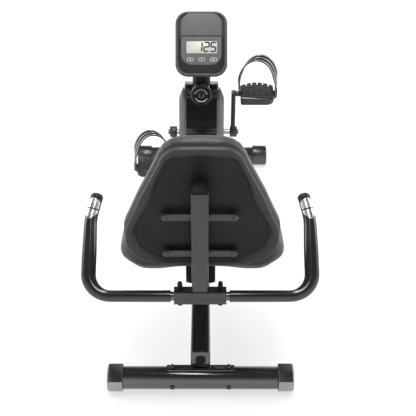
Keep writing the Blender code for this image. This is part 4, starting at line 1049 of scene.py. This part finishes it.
def knob():
    """A fluted knob with a dished face and a printed scale."""
    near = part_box("tension_knob")[0].y
    far = near + 0.0405
    centre = middle("tension_knob")
    sides, lobes = 108, 9
    stations = [(0.0060, far + 0.0138, 0), (0.0060, far, 0), (KNOB_R * 0.80, far, 0),
                (KNOB_R * 0.88, far - 0.0015, 0.003), (KNOB_R * 0.93, far - 0.005, FLUTE),
                (KNOB_R * 0.97, near + 0.0190, FLUTE), (KNOB_R * 1.01, near + 0.0100, FLUTE * 0.7),
                (KNOB_R * 1.03, near + 0.0055, 0.0015), (KNOB_R * 1.00, near + 0.0020, 0.0),
                (KNOB_R * 0.95, near + 0.0004, 0), (KNOB_R * 0.90, near + 0.0002, 0),
                (KNOB_R * 0.86, near + 0.0012, 0)]
    rings = []
    for radius, y, depth in stations:
        ring = []
        for i in range(sides):
            a = 2 * pi * i / sides
            r = radius - depth * (0.5 - 0.5 * cos(a * lobes)) ** 1.5
            ring.append(Vector((cos(a) * r, y, centre.z + sin(a) * r)))
        rings.append(ring)
    owner = ("tension_knob", "gloss_black")
    piece("tension_knob_grip", skin(rings), *owner, ("tension_knob",), "knob_gloss", sharp=50)
    face = near + 0.0009
    printed_face = face - 0.0003
    scale = bmesh.new()
    arc_print(scale, centre, printed_face, radians(205), radians(335), 0.0215, 0.0034, True)
    for k in range(7):
        a = radians(20 + 140 * k / 6)
        arc_print(scale, centre, printed_face, a - 0.055, a + 0.055, 0.0175 + 0.0006 * k, 0.0052, False)
    disc = turned([(KNOB_R * 0.84, 0.0002), (KNOB_R * 0.84, -0.0002), (KNOB_R * 0.80, -0.0004)],
                  (0, face, centre.z), Y_AXIS, 64)
    piece("tension_knob_face", disc, *owner, look="knob_face")
    piece("tension_knob_scale", scale, *owner, look="ink_white", sharp=60)
    hub = turned([(0.0105, 0.0002), (0.0105, -0.0008), (0.0092, -0.0016)], (0, face, centre.z), Y_AXIS, 40)
    piece("tension_knob_hub", hub, *owner)


def arc_print(made, centre, y, first, last, radius, width, tapered):
    """A thin printed stroke along an arc, seen from behind the bike."""
    steps = 16 if tapered else 2
    rings = []
    for i in range(steps + 1):
        share = i / steps
        a = first + (last - first) * share
        half = width / 2 * (0.25 + 0.75 * sin(pi * share) if tapered else 1.0)
        way = Vector((cos(a), 0, sin(a)))
        section = ((-half, 0.0), (half, 0.0), (half, -0.0003), (-half, -0.0003))
        rings.append([Vector((0, y + d, centre.z)) + way * (radius + r) for r, d in section])
    skin(rings, made=made)


# ---- console ----
def face_point(u, up, out):
    return CONSOLE_CENTRE + X_AXIS * u + FACE_UP * up + FACE_NORMAL * out


def on_face(outline, stations, at=(0.0, 0.0), made=None):
    return stacked(outline, stations, face_point(at[0], at[1], 0), X_AXIS, FACE_UP, FACE_NORMAL, made)


def console():
    """A rim and a dark seam around a raised brow panel and a glossy block that carries the display panel."""
    polished("console_case", bevel=0.0010)
    rim = rectangle(*CONSOLE_SIZE, CONSOLE_CORNER, 12)
    stations = [(0.0, -0.0120), (0.0, -0.0055), (0.0010, -0.0028), (0.0030, -0.0012), (0.0055, -0.0010),
                (0.0080, -0.0018), (0.0095, -0.0040), (0.0100, -0.0068), (0.0120, -0.0070)]
    piece("console_rim", on_face(rim, stations), "base", "console_grey", ("console_face",), sharp=50)
    seam = [(0.0102, -0.0066), (0.0102, -0.0062), (0.0125, -0.0062)]
    piece("console_seam", on_face(rim, seam), "base", "console_grey", look="black_ink_and_painted_shade")
    corners = mirrored([(BROW_HALF, SPLIT_UP + 0.0012, 0), (BROW_HALF, 0.0975, 0.034)])
    steps = [(0.0, -0.0062), (0.0, -0.0022), (0.0008, -0.0012), (0.0020, -0.0006), (0.0036, -0.0004)]
    owner = ("base", "console_grey")
    piece("console_brow", on_face(rounded(corners, 12), steps), *owner, look="panel_grey", sharp=50)
    outer = rounded(mirrored([(BLOCK_HALF, -0.0950, 0.048), (BLOCK_HALF, 0.0150, 0.004),
                              (BROW_HALF, SPLIT_UP, 0.001)]), 12)
    inner = rounded(mirrored([(PANEL_HALF, -0.0680, 0.034), (PANEL_HALF, 0.0150, 0.004),
                              (PANEL_HALF - 0.002, SPLIT_UP - 0.0010, 0.001)]), 12)
    levels = [(outer, -0.0062), (outer, -0.0045), (inset(outer, 0.0010), -0.0034), (inner, -0.0008)]
    block_mesh = skin([lift(line, face_point(0, 0, d), X_AXIS, FACE_UP) for line, d in levels])
    body = piece("console_block", block_mesh, *owner, look="console_gloss", sharp=24)
    plate = on_face(inner, [(0.0001, -0.0007), (0.0001, -0.0001), (0.0008, 0.0004)])
    panel = piece("console_panel", plate, *owner, look="panel_grey", sharp=30)
    for shape in (body, panel):
        pocket = rectangle(DISPLAY_SIZE[0], DISPLAY_SIZE[1], 0.003, 4)
        cut(shape, on_face(pocket, [(0, -0.0036), (0, 0.01)], (DISPLAY_X, DISPLAY_UP)))
        for x in BUTTON_XS:
            hole = rectangle(BUTTON_SIZE[0] + 0.0008, BUTTON_SIZE[1] + 0.0008, BUTTON_SIZE[1] / 2, 8)
            cut(shape, on_face(hole, [(0, -0.0061), (0, 0.01)], (x, BUTTON_UP)))
    polished("display", "display_glass", 0.0002)
    digits()
    for hand, x in zip(("left", "middle", "right"), BUTTON_XS):
        button(hand, x)


def cut(shape, tool_mesh):
    """Take a closed form out of a piece for good."""
    tool = closed("tool", tool_mesh)
    step = shape.modifiers.new("cut", "BOOLEAN")
    step.operation = "DIFFERENCE"
    step.solver = "EXACT"
    step.object = tool
    applied(shape)
    bpy.data.objects.remove(tool)


SEGMENTS = {"1": "bc", "2": "abged", "5": "afgcd"}


def digits():
    """Plain seven-segment digits with a decimal point, just above the display."""
    made = bmesh.new()
    tall, wide, bar = 0.0285, 0.0150, 0.0050
    ink = [(0, -0.00035), (0, -0.00023)]
    high = DISPLAY_UP + 0.0010
    half = tall / 2
    spots = {"a": (0, half, 0), "d": (0, -half, 0), "g": (0, 0, 0), "f": (-wide / 2, half / 2, 1),
             "b": (wide / 2, half / 2, 1), "e": (-wide / 2, -half / 2, 1), "c": (wide / 2, -half / 2, 1)}
    for digit, x in (("1", -0.0070), ("2", 0.0150), ("5", 0.0365)):
        for name in SEGMENTS[digit]:
            du, dv, upright = spots[name]
            length = (half if upright else wide) - 0.0036
            lean = dv * 0.10
            on_face(pointed(bar / 2, length / 2, upright), ink, (DISPLAY_X + x + du + lean, high + dv), made)
    on_face(circle(0.0013, 12), ink, (DISPLAY_X + 0.0255, high - half), made)
    mark = [(-0.0022, -0.0018), (0.0020, 0.0), (-0.0022, 0.0018)]
    on_face(mark, ink, (DISPLAY_X - 0.0405, DISPLAY_UP + 0.003), made)
    piece("display_digits", made, "base", "display_glass", look="black_ink_and_painted_shade")


def pointed(s, t, upright):
    """A bar of half width s and half length t, with pointed ends."""
    outline = [(-s, -t), (0, -t - s), (s, -t), (s, t), (0, t + s), (-s, t)]
    return outline if upright else [(y, -x) for x, y in outline]


def button(hand, x):
    """An oval cap with a printed outline and a small printed sign."""
    owner = "button_" + hand
    polished(owner, bevel=0.0003, look="console_grey")
    level, ink = 0.0015, 0.00015
    made = bmesh.new()
    outline = rectangle(BUTTON_SIZE[0] - 0.0030, BUTTON_SIZE[1] - 0.0030, (BUTTON_SIZE[1] - 0.0032) / 2)
    outer = lift(outline, face_point(x, BUTTON_UP, level), X_AXIS, FACE_UP)
    inner = lift(inset(outline, 0.0016), face_point(x, BUTTON_UP, level), X_AXIS, FACE_UP)
    rise = FACE_NORMAL * ink
    skin([outer, [p + rise for p in outer], [p + rise for p in inner], inner], loop=True, made=made)
    arrow = [(-0.0020, -0.0026), (0.0028, 0.0), (-0.0020, 0.0026)]
    signs = {"left": circle(0.0026, 4), "middle": arrow, "right": circle(0.0024, 18)}
    on_face(signs[hand], [(0, level), (0, level + ink)], (x, BUTTON_UP), made)
    piece(owner + "_print", made, owner, look="ink_grey")


# ---- studio ----
def studio():
    """A pale floor, a wide soft sun, three soft boxes and the camera."""
    scene = bpy.context.scene
    scene.view_settings.view_transform = "Standard"
    mesh = bpy.data.meshes.new("studio_floor")
    corners = [(x * FLOOR_HALF, y * FLOOR_HALF, 0) for x, y in ((-1, -1), (1, -1), (1, 1), (-1, 1))]
    mesh.from_pydata(corners, [], [(0, 1, 2, 3)])
    look = Look("studio_floor", Roughness=0.9, Base_Color=(0.30, 0.30, 0.30, 1), Specular_IOR_Level=0.0,
                Emission_Color=(1.0, 1.0, 1.0, 1), Emission_Strength=0.66)
    mesh.materials.append(look.material)
    placed("studio_floor", mesh)
    key = lamp("key", "SUN", 3.2, (-0.10, 0.28, 1.0))
    key.data.angle = radians(70)
    key.visible_glossy = False
    for name, place, size, length, power in (("left_box", (-3.2, 0.3, 2.2), 1.2, 2.4, 45),
                                             ("right_box", (3.2, 0.3, 2.2), 1.2, 2.4, 45),
                                             ("top_strip", (0.0, -0.35, 2.3), 0.35, 2.0, 24)):
        box = lamp(name, "AREA", power, Vector(place) - Vector((0, 0, 0.3)))
        box.location = place
        box.data.shape = "RECTANGLE"
        box.data.size = size
        box.data.size_y = length
    world_light(scene)
    data = bpy.data.cameras.new("camera")
    data.sensor_width = 36.0
    data.lens = CAMERA_LENS
    data.shift_x = CAMERA_SHIFT
    data.clip_end = 60
    camera = placed("camera", data)
    camera.location = Vector(CAMERA_PLACE) + Y_AXIS * REAR_Y
    camera.rotation_euler = (CAMERA_TILT, 0, 0)
    scene.camera = camera


def lamp(name, kind, power, way):
    """A light that shines from the given direction."""
    data = bpy.data.lights.new(name, kind)
    data.energy = power
    shape = placed(name, data)
    shape.rotation_euler = Vector(way).to_track_quat("Z", "Y").to_euler()
    return shape


def world_light(scene):
    """A bright horizon under a dim sky, so that level surfaces stay dark and the room looks white."""
    world = bpy.data.worlds.new("studio")
    world.use_nodes = True
    tree = world.node_tree
    kinds = ("TexCoord", "SeparateXYZ", "ValToRGB")
    coords, split, ramp = (tree.nodes.new("ShaderNode" + kind) for kind in kinds)
    tree.links.new(coords.outputs["Generated"], split.inputs["Vector"])
    tree.links.new(split.outputs["Z"], ramp.inputs["Fac"])
    tree.links.new(ramp.outputs["Color"], tree.nodes["Background"].inputs["Color"])
    stops = ramp.color_ramp.elements
    stops[0].position, stops[0].color = 0.25, (1.0, 1.0, 1.0, 1)
    stops[1].position, stops[1].color = 0.50, (0.30, 0.30, 0.31, 1)
    stops.new(0.75).color = (0.09, 0.09, 0.095, 1)
    scene.world = world


floor_frame()
seat_frame()
handlebar()
upholstery()
drive()
covers()
knob()
console()
studio()
